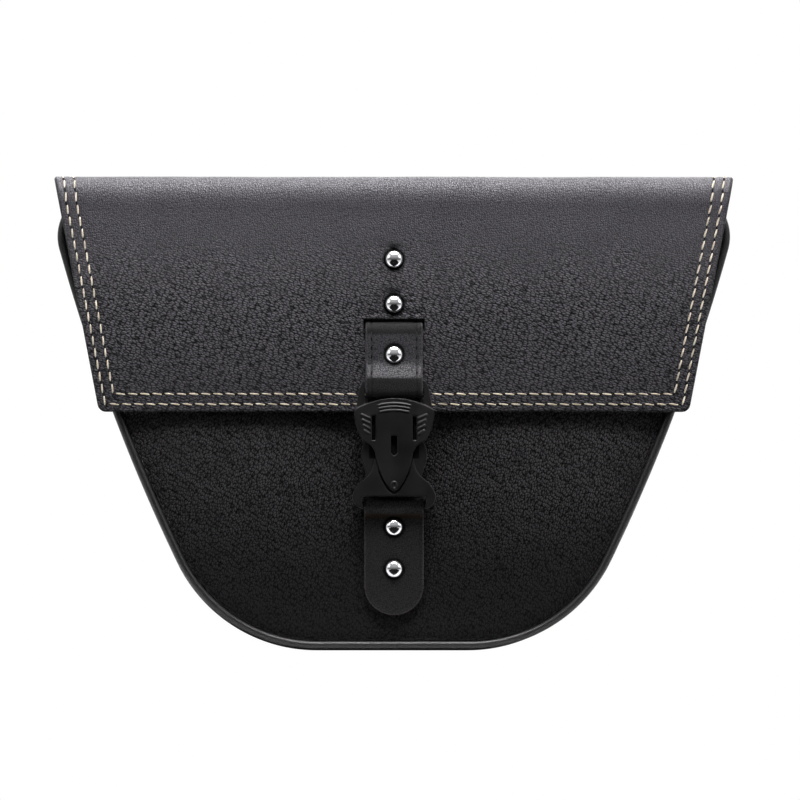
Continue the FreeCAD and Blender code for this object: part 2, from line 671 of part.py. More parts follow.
def make_rivets():
    post, washer_r = num("dims.rivet_post_radius"), num("dims.washer_radius")
    thick = num("dims.washer_thick")
    head, height = num("dims.rivet_head_radius"), num("dims.rivet_head_height")
    bore = post + num("dims.seat_gap")/2
    strap_face = num(f"{STRAP_OUTER} - dims.strap_thick/2")
    tab_face = num(f"{TAB_OUTER} - dims.tab_thick/2")
    behind_strap = num(f"{SKIRT_BACK} + dims.seat_gap + dims.strap_thick")
    rivets = {
        "flap_rivet_high": (num(SKIRT_FRONT), behind_strap, num(FLAP_RIVET_HIGH)),
        "flap_rivet_low": (num(SKIRT_FRONT), behind_strap, num(FLAP_RIVET_LOW)),
        "strap_rivet": (strap_face, num(SKIRT_BACK), num(STRAP_RIVET)),
        "tab_rivet_high": (tab_face, num(FRONT_LINED), num(TAB_RIVET_HIGH)),
        "tab_rivet_low": (tab_face, num(FRONT_LINED), num(TAB_RIVET_LOW)),
    }
    for name, (face, rear, z) in rivets.items():
        turned(name, dome(face, head, height, post, rear + thick), 0, z)
        turned(f"{name}_washer", washer(rear, rear + thick, washer_r, bore), 0, z)


# ---------------------------------------------------------------- squeeze buckle
# The buckle is drawn for 30 mm webbing and scaled by dims.buckle_unit: points are (x, drop below a bar).
FLIP = FreeCAD.Matrix(-1, 0, 0, 0, 0, 1, 0, 0, 0, 0, 1, 0, 0, 0, 0, 1)


def flipped(edges):
    other = []
    for edge in edges:
        copy = edge.copy()
        copy.transform(FLIP)
        other.append(copy)
    return other


def both(edges):
    """Right-hand edges with their mirror images, for one closed outline."""
    return edges + flipped(edges)


def placed(points, bar):
    unit = num("dims.buckle_unit")
    return [(x * unit, bar - drop * unit) for x, drop in points]


def curve(points, bar):
    """An arc through three drawn points."""
    return arc_through(*placed(points, bar))


def units(number):
    return f"({number}*dims.buckle_unit)"


def tongue(bar, waist, grow):
    """Right half of the socket's tongue from its waist to its tip, grown sideways by a clearance."""
    return [
        curve([(waist + grow, 38.5), (waist - 2.8 + grow, 48.5), (2.4 + grow, 58.1)], bar),
        line(*placed([(2.4 + grow, 58.1), (0, 59.5 + grow)], bar)),
    ]


def make_socket():
    """Upper half: frame and bar for the strap, arched front plate with grips and windows, tongue below."""
    unit, bar = num("dims.buckle_unit"), num(UPPER_BAR)
    wide = num("dims.buckle_half_width/dims.buckle_unit")
    waist = num("dims.buckle_waist_half/dims.buckle_unit")
    socket = new_body("buckle_socket")
    right = [
        curve([(0, 4.6), (wide * 0.52, 6.6), (wide, 11.7)], bar),
        curve([(wide, 11.7), (wide - 1.2, 21.5), (wide - 5.3, 30.0)], bar),
        curve([(wide - 5.3, 30.0), (waist + 2.2, 33.4), (waist, 38.5)], bar),
    ]
    pad(socket, both(right + tongue(bar, waist, 0)), PLATE_FRONT, "dims.buckle_plate_thick")

    # side walls, cross wall and catches behind the plate
    inner, overlap = wide - 2.4, units(0.1)
    deep = f"({PLATE_FRONT} + dims.buckle_plate_thick - {overlap})"
    wall = f"(dims.cavity_depth + {overlap})"
    side = placed([(inner, 11.3), (wide - 0.3, 11.7), (wide - 1.3, 20), (wide - 3.2, 25.5),
                   (inner - 3.4, 25.5),
                   (inner - 1.4, 20)], bar)
    catch_in, catch_out = 14.6 * unit, (inner - 0.8) * unit
    catch_low, catch_high = num(f"{CATCH} - {units(1)}"), num(f"{CATCH} + {units(1)}")
    for hand in (-1, 1):
        pad(socket, polygon([(hand * x, z) for x, z in side]), deep, wall)
        ends = sorted((hand * catch_in, hand * catch_out))
        pad(socket, rectangle(*ends, catch_low, catch_high), deep, units(1.8))
    half = inner + 0.5
    cross = placed([(half, 11.7), (half, 5.0), (-half, 5.0), (-half, 11.7)], bar)
    pad(socket, polygon(cross), deep, wall)

    # frame arms up to the bar, with pointed tips
    arm_in, arm_out = num("dims.strap_width/2/dims.buckle_unit") + 0.5, wide - 1.5
    arm = placed([(arm_in, 11.2), (arm_out + 0.6, 11.2), (arm_out - 1.6, -0.8), (arm_in + 1.2, -5.6),
                  (arm_in, -5.6)], bar)
    for hand in (-1, 1):
        pad(socket, polygon([(hand * x, z) for x, z in arm]), f"({UPPER_BAR_Y} - 1.1*dims.bar_radius)",
            "2*dims.bar_radius")
    rod = sketch_on(socket, "YZ_Plane", [circle((num(UPPER_BAR_Y), bar), num("dims.bar_radius"))])
    pad_sketch(socket, rod, f"{2 * arm_in + 2}*dims.buckle_unit", both_ways=True)

    # the rear of the tips is cut back so that they clear the flap as the buckle swings out
    centre = num(UPPER_BAR_Y)
    tips = [(1.9, 2.6), (4, 2.6), (4, 8), (-1.2, 8), (-0.4, 5.7)]
    relief = sketch_on(socket, "YZ_Plane", polygon([(centre + y * unit, bar + z * unit) for y, z in tips]))
    cut = socket.newObject("PartDesign::Pocket", "buckle_socket_relief")
    cut.Profile = relief
    cut.SideType = "Symmetric"
    cut.setExpression("Length", "4*dims.buckle_half_width")

    # windows: one beside each grip and a pointed one in the middle
    through, before = f"(dims.buckle_plate_thick + {units(1)})", f"({PLATE_FRONT} - {units(1)})"
    for hand in (-1, 1):
        slot = placed([(hand * 10.9, 29.4), (hand * 13.2, 29.4), (hand * 13.2, 15), (hand * 10.9, 15)], bar)
        pocket(socket, polygon(slot), before, through)
    middle = placed([(-1.9, 26.8), (1.9, 26.8), (1.9, 37), (0, 38.6), (-1.9, 37)], bar)
    pocket(socket, polygon(middle), before, through)

    # raised grip ribs, arched ridges under the top edge, keeper eye near the tip
    proud, rise = f"({PLATE_FRONT} - {units(0.5)})", units(0.7)
    for step in range(4):
        drop, reach = 17.2 + 3.1 * step, 19.0 - 0.5 * step
        for hand in (-1, 1):
            rib = placed([(hand * 14.1, drop), (hand * 14.1, drop - 1.1), (hand * reach, drop - 3.3),
                          (hand * (reach + 0.6), drop - 2.3)], bar)
            pad(socket, polygon(rib), proud, rise)
    for step in range(3):
        pad(socket, arch_ridge(bar, 45.0, 37.6 - 2.0 * step, 0.8, 15), proud, rise)
    pad(socket, eye_ring(bar, 56.0, 1.5, 0.7, 0.8), proud, rise)


def arch_ridge(bar, centre_drop, radius, width, half_angle):
    """A ridge bent along an arc, centred on the buckle's middle line."""
    unit = num("dims.buckle_unit")
    centre, outer, inner = bar - centre_drop * unit, radius * unit, (radius - width) * unit
    low, high = 90 - half_angle, 90 + half_angle
    edges = [arc((0, centre), outer, low, high), arc((0, centre), inner, low, high)]
    for angle in (math.radians(low), math.radians(high)):
        ends = [(r * math.cos(angle), centre + r * math.sin(angle)) for r in (outer, inner)]
        edges.append(line(*ends))
    return edges


def eye_ring(bar, drop, outer, inner, stretch):
    """An upright oval ring."""
    unit = num("dims.buckle_unit")
    high, low = bar - (drop - stretch) * unit, bar - (drop + stretch) * unit
    edges = []
    for radius in (outer * unit, inner * unit):
        edges += [
            arc((0, high), radius, 0, 180), line((-radius, high), (-radius, low)),
            arc((0, low), radius, 180, 360), line((radius, low), (radius, high)),
        ]
    return edges


def make_plug():
    """Lower half: flared base with its bar, two horns beside the tongue, a guide, room for both arms."""
    unit, bar, bar_y = num("dims.buckle_unit"), num(LOWER_BAR), num(LOWER_BAR_Y)
    wide = num("dims.buckle_half_width/dims.buckle_unit")
    waist = num("dims.buckle_waist_half/dims.buckle_unit")
    plug = new_body("buckle_plug")
    tab = num("dims.tab_width/2/dims.buckle_unit") + 0.4
    top = 27.5
    flare = [
        curve([(wide - 0.3, -9.5), (wide - 6.0, -18.2), (waist + 0.3, -top)], bar),
        curve([(wide - 0.3, -9.5), (wide - 0.1, -5.0), (wide - 2.6, 1.5)], bar),
        line(*placed([(wide - 2.6, 1.5), (tab, 2.8)], bar)),
        line(*placed([(tab, 2.8), (tab, -4.6)], bar)),
        line(*placed([(tab, -4.6), (0, -4.6)], bar)),
        line(*placed([(waist + 0.3, -top), (0, -top)], bar)),
    ]
    rear = f"({ARM_BACK} + dims.run_gap)"
    pad(plug, both(flare), rear, units(2.4))

    # front skin, cut away round the socket's tongue so that two horns are left
    skin_front = f"({PLATE_FRONT} + {units(0.8)})"
    skin_back = f"({ARM_FRONT} - dims.run_gap)"
    pad(plug, both(flare), skin_front, f"({skin_back} - {skin_front})")
    upper, grow = num(f"{UPPER_BAR} - {units(1.2)}"), 0.6
    notch = tongue(upper, waist, grow) + [
        line(*placed([(waist + grow, 38.5), (waist + grow, 34)], upper)),
        line(*placed([(waist + grow, 34), (0, 34)], upper)),
    ]
    pocket(plug, both(notch), f"({skin_front} - {units(1)})", f"({skin_back} - {skin_front} + {units(1)})")

    # cheeks join the skin to the base and carry the bar
    cheek = placed([(tab, 2.8), (wide - 2.8, 1.5), (wide - 0.4, -5.0), (wide - 0.8, -9.4),
                    (tab, -9.4)], bar)
    for hand in (-1, 1):
        outline = polygon([(hand * x, z) for x, z in cheek])
        pad(plug, outline, skin_front, f"({LOWER_BAR_Y} + dims.bar_radius - {skin_front})")
    rod = sketch_on(plug, "YZ_Plane", [circle((bar_y, bar), num("dims.bar_radius"))])
    pad_sketch(plug, rod, f"{2 * tab + 2}*dims.buckle_unit", both_ways=True)

    # web between the arms' roots, and the guide that slides into the socket
    web = placed([(-9, -4.6), (9, -4.6), (9, -18), (-9, -18)], bar)
    pad(plug, polygon(web), PLUG_FRONT, f"({rear} + {units(0.5)} - {PLUG_FRONT})")
    half = num("dims.guide_half/dims.buckle_unit")
    guide = placed([(-half, -15), (half, -15), (half, -38), (half - 2, -41), (2 - half, -41),
                    (-half, -38)], bar)
    pad(plug, polygon(guide), ARM_FRONT, "dims.arm_thick")


def make_arm(name, hand):
    """Squeeze arm: rounded root in the plug's base, thumb lobe at the waist, hook above the catch."""
    arm = new_body(name)
    unit, root_z, root_x = num("dims.buckle_unit"), num(ARM_ROOT), num("dims.arm_root_x")
    radius, hook = num("dims.arm_root_radius"), num(f"{CATCH} + {units(1)} + dims.catch_slack")

    def over_root(x, rise):
        return (x * unit, root_z + rise * unit)

    def over_hook(x, rise):
        return (x * unit, hook + rise * unit)

    left, right = (root_x - radius, root_z), (root_x + radius, root_z)
    outline = [
        arc_through(right, (root_x, root_z - radius), left),
        line(left, over_root(11.2, 16)),
        line(over_root(11.2, 16), over_hook(11.2, 5.6)),
        line(over_hook(11.2, 5.6), over_hook(14.6, 5.6)),
        line(over_hook(14.6, 5.6), over_hook(17.0, 1.6)),
        line(over_hook(17.0, 1.6), over_hook(17.0, 0)),
        line(over_hook(17.0, 0), over_hook(14.2, 0)),
        line(over_hook(14.2, 0), over_root(14.2, 24.6)),
        arc_through(over_root(14.2, 24.6), over_root(15.6, 23.6), over_root(17.4, 21.4)),
        arc_through(over_root(17.4, 21.4), over_root(19.3, 14.5), over_root(17.6, 6.5)),
        line(over_root(17.6, 6.5), right),
    ]
    pad(arm, outline if hand > 0 else flipped(outline), ARM_FRONT, "dims.arm_thick")


# ---------------------------------------------------------------- rear hanging straps
def make_hangers():
    """A strap in a flat loop on each side of the rear, under two bridges, closed by a press stud."""
    thick, gap = num("dims.hanger_thick"), num("dims.bridge_gap")
    inner_y, bridge_t = num(HANGER_IN), num("dims.bridge_thick")
    bridge_y = inner_y + thick / 2 + gap + bridge_t / 2
    under_y = bridge_y + bridge_t / 2 + 2 * gap + thick / 2
    over_y = under_y + thick + num("dims.seat_gap")
    top, bottom = num(HANGER_TOP) - thick / 2, num(f"{HANGER_TOP} - dims.hanger_length") + thick / 2
    lap, half_lap = num(HANGER_LAP), num("dims.hanger_lap/2")
    high_r, low_r = (under_y - inner_y) / 2, (over_y - inner_y) / 2
    path = [
        (under_y, lap - half_lap, 0), (under_y, top, high_r), (inner_y, top, high_r),
        (inner_y, bottom, low_r), (over_y, bottom, low_r), (over_y, lap + half_lap, 0),
    ]
    for side, hand in (("left", -1), ("right", 1)):
        place = f"{hand}*dims.hanger_spacing/2"
        hanger = strip(f"hanging_strap_{side}", "YZ_Plane", path, "dims.hanger_thick", "dims.hanger_width")
        hole = [circle((0, lap), num("dims.rivet_hole_radius"))]
        pocket(hanger, hole, str(under_y - thick), str(3 * thick))
        hanger.setExpression("Placement.Base.x", place)
        for level, height in (("high", BRIDGE_HIGH), ("low", BRIDGE_LOW)):
            make_bridge(f"strap_bridge_{side}_{level}", bridge_y, place, height)

        # press stud through the overlapping ends
        post, face, back = num("dims.rivet_post_radius"), over_y + thick / 2, under_y - thick / 2
        ring = num("dims.washer_thick")
        cap = dome(face, num("dims.stud_radius"), num("dims.stud_rise"), post, back - ring)
        middle = hand * num("dims.hanger_spacing/2")
        turned(f"stud_cap_{side}", cap, middle, lap)
        bore = post + num("dims.seat_gap/2")
        profile = washer(back - ring, back, 0.75 * num("dims.stud_radius"), bore)
        turned(f"stud_ring_{side}", profile, middle, lap)


def make_bridge(name, crown_y, place, height):
    """A leather strip riveted at both feet that arches over the hanging strap."""
    thick, foot = num("dims.bridge_thick"), num("dims.bridge_foot")
    flat_y = num(f"{BACK} + dims.seat_gap") + thick / 2
    step, bend = BRIDGE_CLEAR + thick / 2, 0.65 * thick
    path = [
        (-step - foot - thick / 2, flat_y, 0), (-step, flat_y, bend), (0.4 * thick - step, crown_y, bend),
        (step - 0.4 * thick, crown_y, bend), (step, flat_y, bend), (step + foot + thick / 2, flat_y, 0),
    ]
    bridge = new_body(name)
    sketch = sketch_on(bridge, "XY_Plane", ribbon(path, thick))
    pad_sketch(bridge, sketch, "dims.bridge_height", both_ways=True)
    holes = [circle((hand * BRIDGE_HOLE, 0), num("dims.rivet_hole_radius")) for hand in (-1, 1)]
    pocket(bridge, holes, BACK, "2*dims.bridge_thick")
    bridge.setExpression("Placement.Base.x", place)
    bridge.setExpression("Placement.Base.z", height)


def many(name, template, places):
    """Several copies of one turned piece as separate solids of one node."""
    group = doc.addObject("Part::Feature", name)
    group.Label = name
    solids = []
    for x, z in places:
        copy = template.Shape.copy()
        copy.Placement = Placement(Vector(x, 0, z), Rotation())
        solids.append(copy)
    group.Shape = Part.makeCompound(solids)
    return group


def make_bridge_rivets():
    post, face = num("dims.rivet_post_radius"), num(f"{BACK} + dims.seat_gap + dims.bridge_thick")
    rear = num(BACK_LINED)
    thick = num("dims.washer_thick")
    head = dome(face, num("dims.small_rivet_radius"), num("dims.small_rivet_rise"), post, rear - thick)
    cap = turned("bridge_rivet_pattern", head, 0, 0)
    profile = washer(rear - thick, rear, num("dims.washer_radius"), post + num("dims.seat_gap"))
    ring = turned("bridge_washer_pattern", profile, 0, 0)
    doc.recompute()
    many("bridge_rivets", cap, bridge_holes())
    many("bridge_washers", ring, bridge_holes())
    return [cap, ring]


make_front()
make_gusset_and_back()
make_flap()
make_strap()
make_tab()
make_rivets()
make_socket()
make_plug()
make_arm("squeeze_arm_left", -1)
make_arm("squeeze_arm_right", 1)
make_hangers()
patterns = make_bridge_rivets()
doc.recompute()

pattern_names = {p.Name for p in patterns}
nodes = [o for o in doc.Objects
         if (o.TypeId == "PartDesign::Body" or o.TypeId == "Part::Feature") and o.Name not in pattern_names]
for item in doc.Objects:
    if "Invalid" in item.State or "Error" in item.State:
        raise RuntimeError(f"{item.Name} failed: {item.State}")
for node in nodes:
    if node.Shape.isNull() or not node.Shape.isValid() or not node.Shape.Solids:
        raise RuntimeError(f"{node.Label} has no valid solid")

os.makedirs("parts", exist_ok=True)
for node in nodes:
    node.Shape.exportStep(f"parts/{node.Label}.step")
print(len(nodes), "nodes written")
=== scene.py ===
import math
import bpy
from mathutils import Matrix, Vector, noise


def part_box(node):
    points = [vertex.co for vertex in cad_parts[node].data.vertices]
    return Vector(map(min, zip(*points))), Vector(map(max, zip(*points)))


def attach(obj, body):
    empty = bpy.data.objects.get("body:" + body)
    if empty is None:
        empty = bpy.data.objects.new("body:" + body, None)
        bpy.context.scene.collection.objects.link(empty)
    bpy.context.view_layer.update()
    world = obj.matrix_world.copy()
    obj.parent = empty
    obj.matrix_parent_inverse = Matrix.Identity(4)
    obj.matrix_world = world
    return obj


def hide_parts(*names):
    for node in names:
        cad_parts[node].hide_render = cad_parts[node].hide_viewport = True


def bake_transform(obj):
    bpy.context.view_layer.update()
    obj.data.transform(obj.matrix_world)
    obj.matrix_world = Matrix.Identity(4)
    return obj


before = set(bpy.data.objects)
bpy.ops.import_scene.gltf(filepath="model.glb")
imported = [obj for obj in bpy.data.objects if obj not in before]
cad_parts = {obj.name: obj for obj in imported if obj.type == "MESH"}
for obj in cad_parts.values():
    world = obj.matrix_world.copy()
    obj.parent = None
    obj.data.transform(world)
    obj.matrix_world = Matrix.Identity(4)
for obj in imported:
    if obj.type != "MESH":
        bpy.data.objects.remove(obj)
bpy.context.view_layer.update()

# ---------------------------------------------------------------- studio
# A white room, dark low down on its front side: pale floor that keeps the bag's shadow, one broad lamp
# overhead, a long one above in front, weak ones round about. The floor can be seen through from underneath.
scene = bpy.context.scene
scene.view_settings.view_transform = "Standard"


def node(tree, kind, inputs=(), **settings):
    """A shader node with its settings made and its inputs set, or linked where the value is a socket."""
    made = tree.nodes.new(kind)
    for name, value in settings.items():
        setattr(made, name, value)
    for key, value in dict(inputs).items():
        if isinstance(value, bpy.types.NodeSocket):
            tree.links.new(value, made.inputs[key])
        else:
            made.inputs[key].default_value = value
    return made


def maths(tree, operation, *values):
    """A sum of values, each of them a socket or a number."""
    return node(tree, "ShaderNodeMath", dict(enumerate(values)), operation=operation).outputs[0]


def ramp(tree, value, low=0.0, high=1.0, start=0.0, end=1.0, curve="LINEAR", clamp=True):
    """A value carried from low..high to start..end."""
    return node(tree, "ShaderNodeMapRange", {"Value": value, "From Min": low, "From Max": high, "To Min": start,
                                             "To Max": end}, interpolation_type=curve, clamp=clamp).outputs[0]


def ease(tree, value, low, high, start=0.0, end=1.0):
    """The same along a smooth curve."""
    return ramp(tree, value, low, high, start, end, "SMOOTHSTEP")


def mid_value(tree, factor, one, two):
    """A value between two, each of them a socket or a number."""
    return node(tree, "ShaderNodeMix", {0: factor, 2: one, 3: two}, data_type="FLOAT").outputs[0]


def mid_colour(tree, factor, one, two):
    """A colour between two, each of them a socket or (red, green, blue)."""
    one, two = (c if isinstance(c, bpy.types.NodeSocket) else (*c, 1) for c in (one, two))
    return node(tree, "ShaderNodeMix", {0: factor, 6: one, 7: two}, data_type="RGBA").outputs[2]


def blank(name):
    """A new material with nothing in it yet, and its node tree."""
    made = bpy.data.materials.new(name)
    made.use_nodes = True
    made.node_tree.nodes.clear()
    return made, made.node_tree


def see_through_back(tree, shader):
    """Ends a material in a shader whose back side is clear."""
    clear, side = node(tree, "ShaderNodeBsdfTransparent"), node(tree, "ShaderNodeNewGeometry")
    both = node(tree, "ShaderNodeMixShader", {0: side.outputs["Backfacing"], 1: shader.outputs[0],
                                              2: clear.outputs[0]})
    node(tree, "ShaderNodeOutputMaterial", {"Surface": both.outputs[0]})


def in_scene(name, data):
    """An object made of data, linked in the scene."""
    made = bpy.data.objects.new(name, data)
    scene.collection.objects.link(made)
    return made


def look(thing, place, aim):
    """Stands a lamp or camera at a place, turned to a point."""
    thing.location = place
    thing.rotation_mode = "QUATERNION"
    thing.rotation_quaternion = (Vector(aim) - Vector(place)).to_track_quat("-Z", "Y")


room = bpy.data.worlds.new("white_room")
scene.world = room
room.use_nodes = True
tree = room.node_tree
tree.nodes.clear()
rays = node(tree, "ShaderNodeLightPath").outputs
seen = maths(tree, "MAXIMUM", rays["Is Camera Ray"], rays["Is Glossy Ray"])
seen = maths(tree, "MAXIMUM", seen, rays["Is Transmission Ray"])
way = node(tree, "ShaderNodeTexCoord")
apart = node(tree, "ShaderNodeSeparateXYZ", {"Vector": way.outputs["Generated"]}).outputs
upper = ease(tree, apart["Z"], -0.02, 0.50, 0.10, 0.45)
wall = ease(tree, apart["Y"], -0.55, -0.05)
around = mid_value(tree, wall, upper, 1.0)
mirror, lit = maths(tree, "MULTIPLY", around, seen), maths(tree, "MULTIPLY", around, 0.20)
level = maths(tree, "MAXIMUM", mirror, lit)
level = maths(tree, "MAXIMUM", level, rays["Is Camera Ray"])
air = node(tree, "ShaderNodeBackground", {"Color": (1, 1, 1, 1), "Strength": level})
node(tree, "ShaderNodeOutputWorld", {"Surface": air.outputs[0]})

floor_half = 3.0
floor_mesh = bpy.data.meshes.new("floor")
floor_mesh.from_pydata([(x * floor_half, y * floor_half, 0) for x, y in ((-1, -1), (1, -1), (1, 1), (-1, 1))], [],
                       [(0, 1, 2, 3)])
floor = in_scene("floor", floor_mesh)
floor.location.z = -0.0005
paper, tree = blank("floor_paper")
fibre = node(tree, "ShaderNodeTexNoise", {"Scale": 40.0, "Detail": 3.0})
tone = mid_colour(tree, fibre.outputs["Fac"], (0.80, 0.80, 0.80), (0.84, 0.84, 0.84))
sheet = node(tree, "ShaderNodeBsdfDiffuse", {"Color": tone})
# Away from the bag the paper sweeps up into the white room, so the eye finds no edge to it.
white = node(tree, "ShaderNodeEmission", {"Color": (1, 1, 1, 1), "Strength": 1.0})
spot = node(tree, "ShaderNodeTexCoord")
away = node(tree, "ShaderNodeVectorMath", {0: spot.outputs["Object"]}, operation="LENGTH")
sweep = ease(tree, away.outputs["Value"], 0.28, 0.60)
rays = node(tree, "ShaderNodeLightPath")
sweep = maths(tree, "MULTIPLY", sweep, rays.outputs["Is Camera Ray"])
see_through_back(tree, node(tree, "ShaderNodeMixShader", {0: sweep, 1: sheet.outputs[0], 2: white.outputs[0]}))
floor_mesh.materials.append(paper)


def lamp(name, place, aim, size, power, colour=(1, 1, 1), deep=None, spread=180):
    """A soft lamp, square or size by deep, that looks at a point of the bag; spread is its grid's angle."""
    light = bpy.data.lights.new(name, "AREA")
    light.shape = "RECTANGLE"
    light.size, light.size_y, light.energy, light.color = size, deep or size, power, colour
    light.spread = math.radians(spread)
    look(in_scene(name, light), place, aim)


lamp("lamp_overhead", (0.0, 0.24, 1.12), (0, 0.20, 0.20), 1.1, 20.0, (1.0, 0.99, 1.0))
lamp("lamp_front", (0.08, -0.35, 0.82), (0.06, -0.05, 0.38), 0.90, 3.0, (1.0, 0.985, 1.0), deep=0.28, spread=52)
lamp("lamp_left", (-1.3, -0.9, 0.9), (0, 0, 0.15), 0.8, 2.5, (0.97, 0.98, 1.0))
lamp("lamp_right", (1.3, -0.8, 0.9), (0, 0, 0.15), 0.8, 3.2, (0.97, 0.98, 1.0))
lamp("lamp_rear", (0.3, 1.4, 1.0), (0, 0, 0.15), 0.9, 8.0)

# Black cards on the floor before the bag: a wedge seen only by its glossy parts, and a wide one that
# stops light bouncing up from the floor on to its front.
felt, tree = blank("black_felt")
see_through_back(tree, node(tree, "ShaderNodeBsdfDiffuse", {"Color": (0.01, 0.01, 0.01, 1)}))
for name, places, in_gloss in (
        ("black_wedge", ((-1.30, -2.95), (1.30, -2.95), (0.30, -0.26), (0, -0.08), (-0.30, -0.26)), True),
        ("black_flag", ((-1.60, -2.95), (1.60, -2.95), (1.10, -0.09), (-1.10, -0.09)), False)):
    card_mesh = bpy.data.meshes.new(name)
    card_mesh.from_pydata([(x, y, 0.0005 if in_gloss else 0.0008) for x, y in places], [], [range(len(places))])
    card_mesh.materials.append(felt)
    card = in_scene(name, card_mesh)
    card.visible_camera = card.visible_shadow = card.visible_transmission = False
    card.visible_glossy, card.visible_diffuse = in_gloss, not in_gloss

# The camera stands far off, level with the bag and square to its front.
eye, target, view_width = Vector((-0.090, -8.060, -0.060)), Vector((0.0035, -0.0577, 0.1464)), 0.4704
lens = bpy.data.cameras.new("camera")
lens.sensor_width = 36.0
lens.lens = lens.sensor_width * (target - eye).length / view_width
lens.clip_end = 50.0
camera = in_scene("camera", lens)
look(camera, eye, target)
scene.camera = camera

# ---------------------------------------------------------------- flap leather
# One piece of stiff cowhide, pebble grained, finished black. It runs from the stitched tail over the
# flat top, rolls over the front edge and hangs as the skirt; edges are skived, dyed and burnished.
MM = 0.001


def route(corners, step=0.5):
    """Even points along runs joined by arcs: corners are (y, z, radius) in mm. Gives (s, y, z, out_y, out_z)."""
    flat = [Vector((y, z)) for y, z, _ in corners]
    pieces, start = [], flat[0]
    for index in range(1, len(corners)):
        here = flat[index]
        if index == len(corners) - 1 or corners[index][2] <= 0:
            pieces.append(("run", start, here))
            start = here
            continue
        before, after = (here - flat[index - 1]).normalized(), (flat[index + 1] - here).normalized()
        turn = before.angle_signed(after)
        radius = corners[index][2]
        trim = radius * math.tan(abs(turn) / 2)
        first = here - before * trim
        pieces.append(("run", start, first))
        pieces.append(("arc", first, before, turn, radius))
        start = here + after * trim
    samples, along = [], 0.0
    for piece in pieces:
        if piece[0] == "run":
            _, a, b = piece
            length = (b - a).length
            if length < 1e-6:
                continue
            way = (b - a) / length
            count = max(1, math.ceil(length / (4 * step)))
            for k in range(count + 1):
                p = a.lerp(b, k / count)
                samples.append((along + length * k / count, p.x, p.y, way.y, -way.x))
            along += length
        else:
            _, first, way, turn, radius = piece
            hand = -1 if turn > 0 else 1
            centre = first + Vector((-way.y, way.x)) * (hand * radius)
            length = abs(turn) * radius
            count = max(4, math.ceil(length / step))
            for k in range(count + 1):
                angle = hand * abs(turn) * k / count
                spoke = first - centre
                spin = Vector((spoke.x * math.cos(angle) - spoke.y * math.sin(angle),
                               spoke.x * math.sin(angle) + spoke.y * math.cos(angle)))
                p = centre + spin
                heading = Vector((way.x * math.cos(angle) - way.y * math.sin(angle),
                                  way.x * math.sin(angle) + way.y * math.cos(angle)))
                samples.append((along + length * k / count, p.x, p.y, heading.y, -heading.x))
            along += length
    return samples


def at(samples, s):
    """Point and outward direction of a route at length s, in mm."""
    low, high = 0, len(samples) - 1
    while high - low > 1:
        middle = (low + high) // 2
        if samples[middle][0] <= s:
            low = middle
        else:
            high = middle
    a, b = samples[low], samples[high]
    span = b[0] - a[0]
    f = (s - a[0]) / span if span > 1e-9 else 0.0
    y, z, oy, oz = (a[i] + (b[i] - a[i]) * f for i in range(1, 5))
    size = math.hypot(oy, oz) or 1.0
    return y, z, oy / size, oz / size


def edge_distance(outline, x, s):
    """Distance from a point to the nearest run of an outline."""
    best = 1e9
    for (x1, s1), (x2, s2) in outline:
        dx, ds = x2 - x1, s2 - s1
        size = dx * dx + ds * ds
        f = 0.0 if size < 1e-12 else max(0.0, min(1.0, ((x - x1) * dx + (s - s1) * ds) / size))
        gap = math.hypot(x - x1 - f * dx, s - s1 - f * ds)
        if gap < best:
            best = gap
    return best


def runs(points, closed=False):
    """The straight runs between points in order, and back to the first where the line is closed."""
    pairs = list(zip(points, points[1:]))
    if closed:
        pairs.append((points[-1], points[0]))
    return pairs


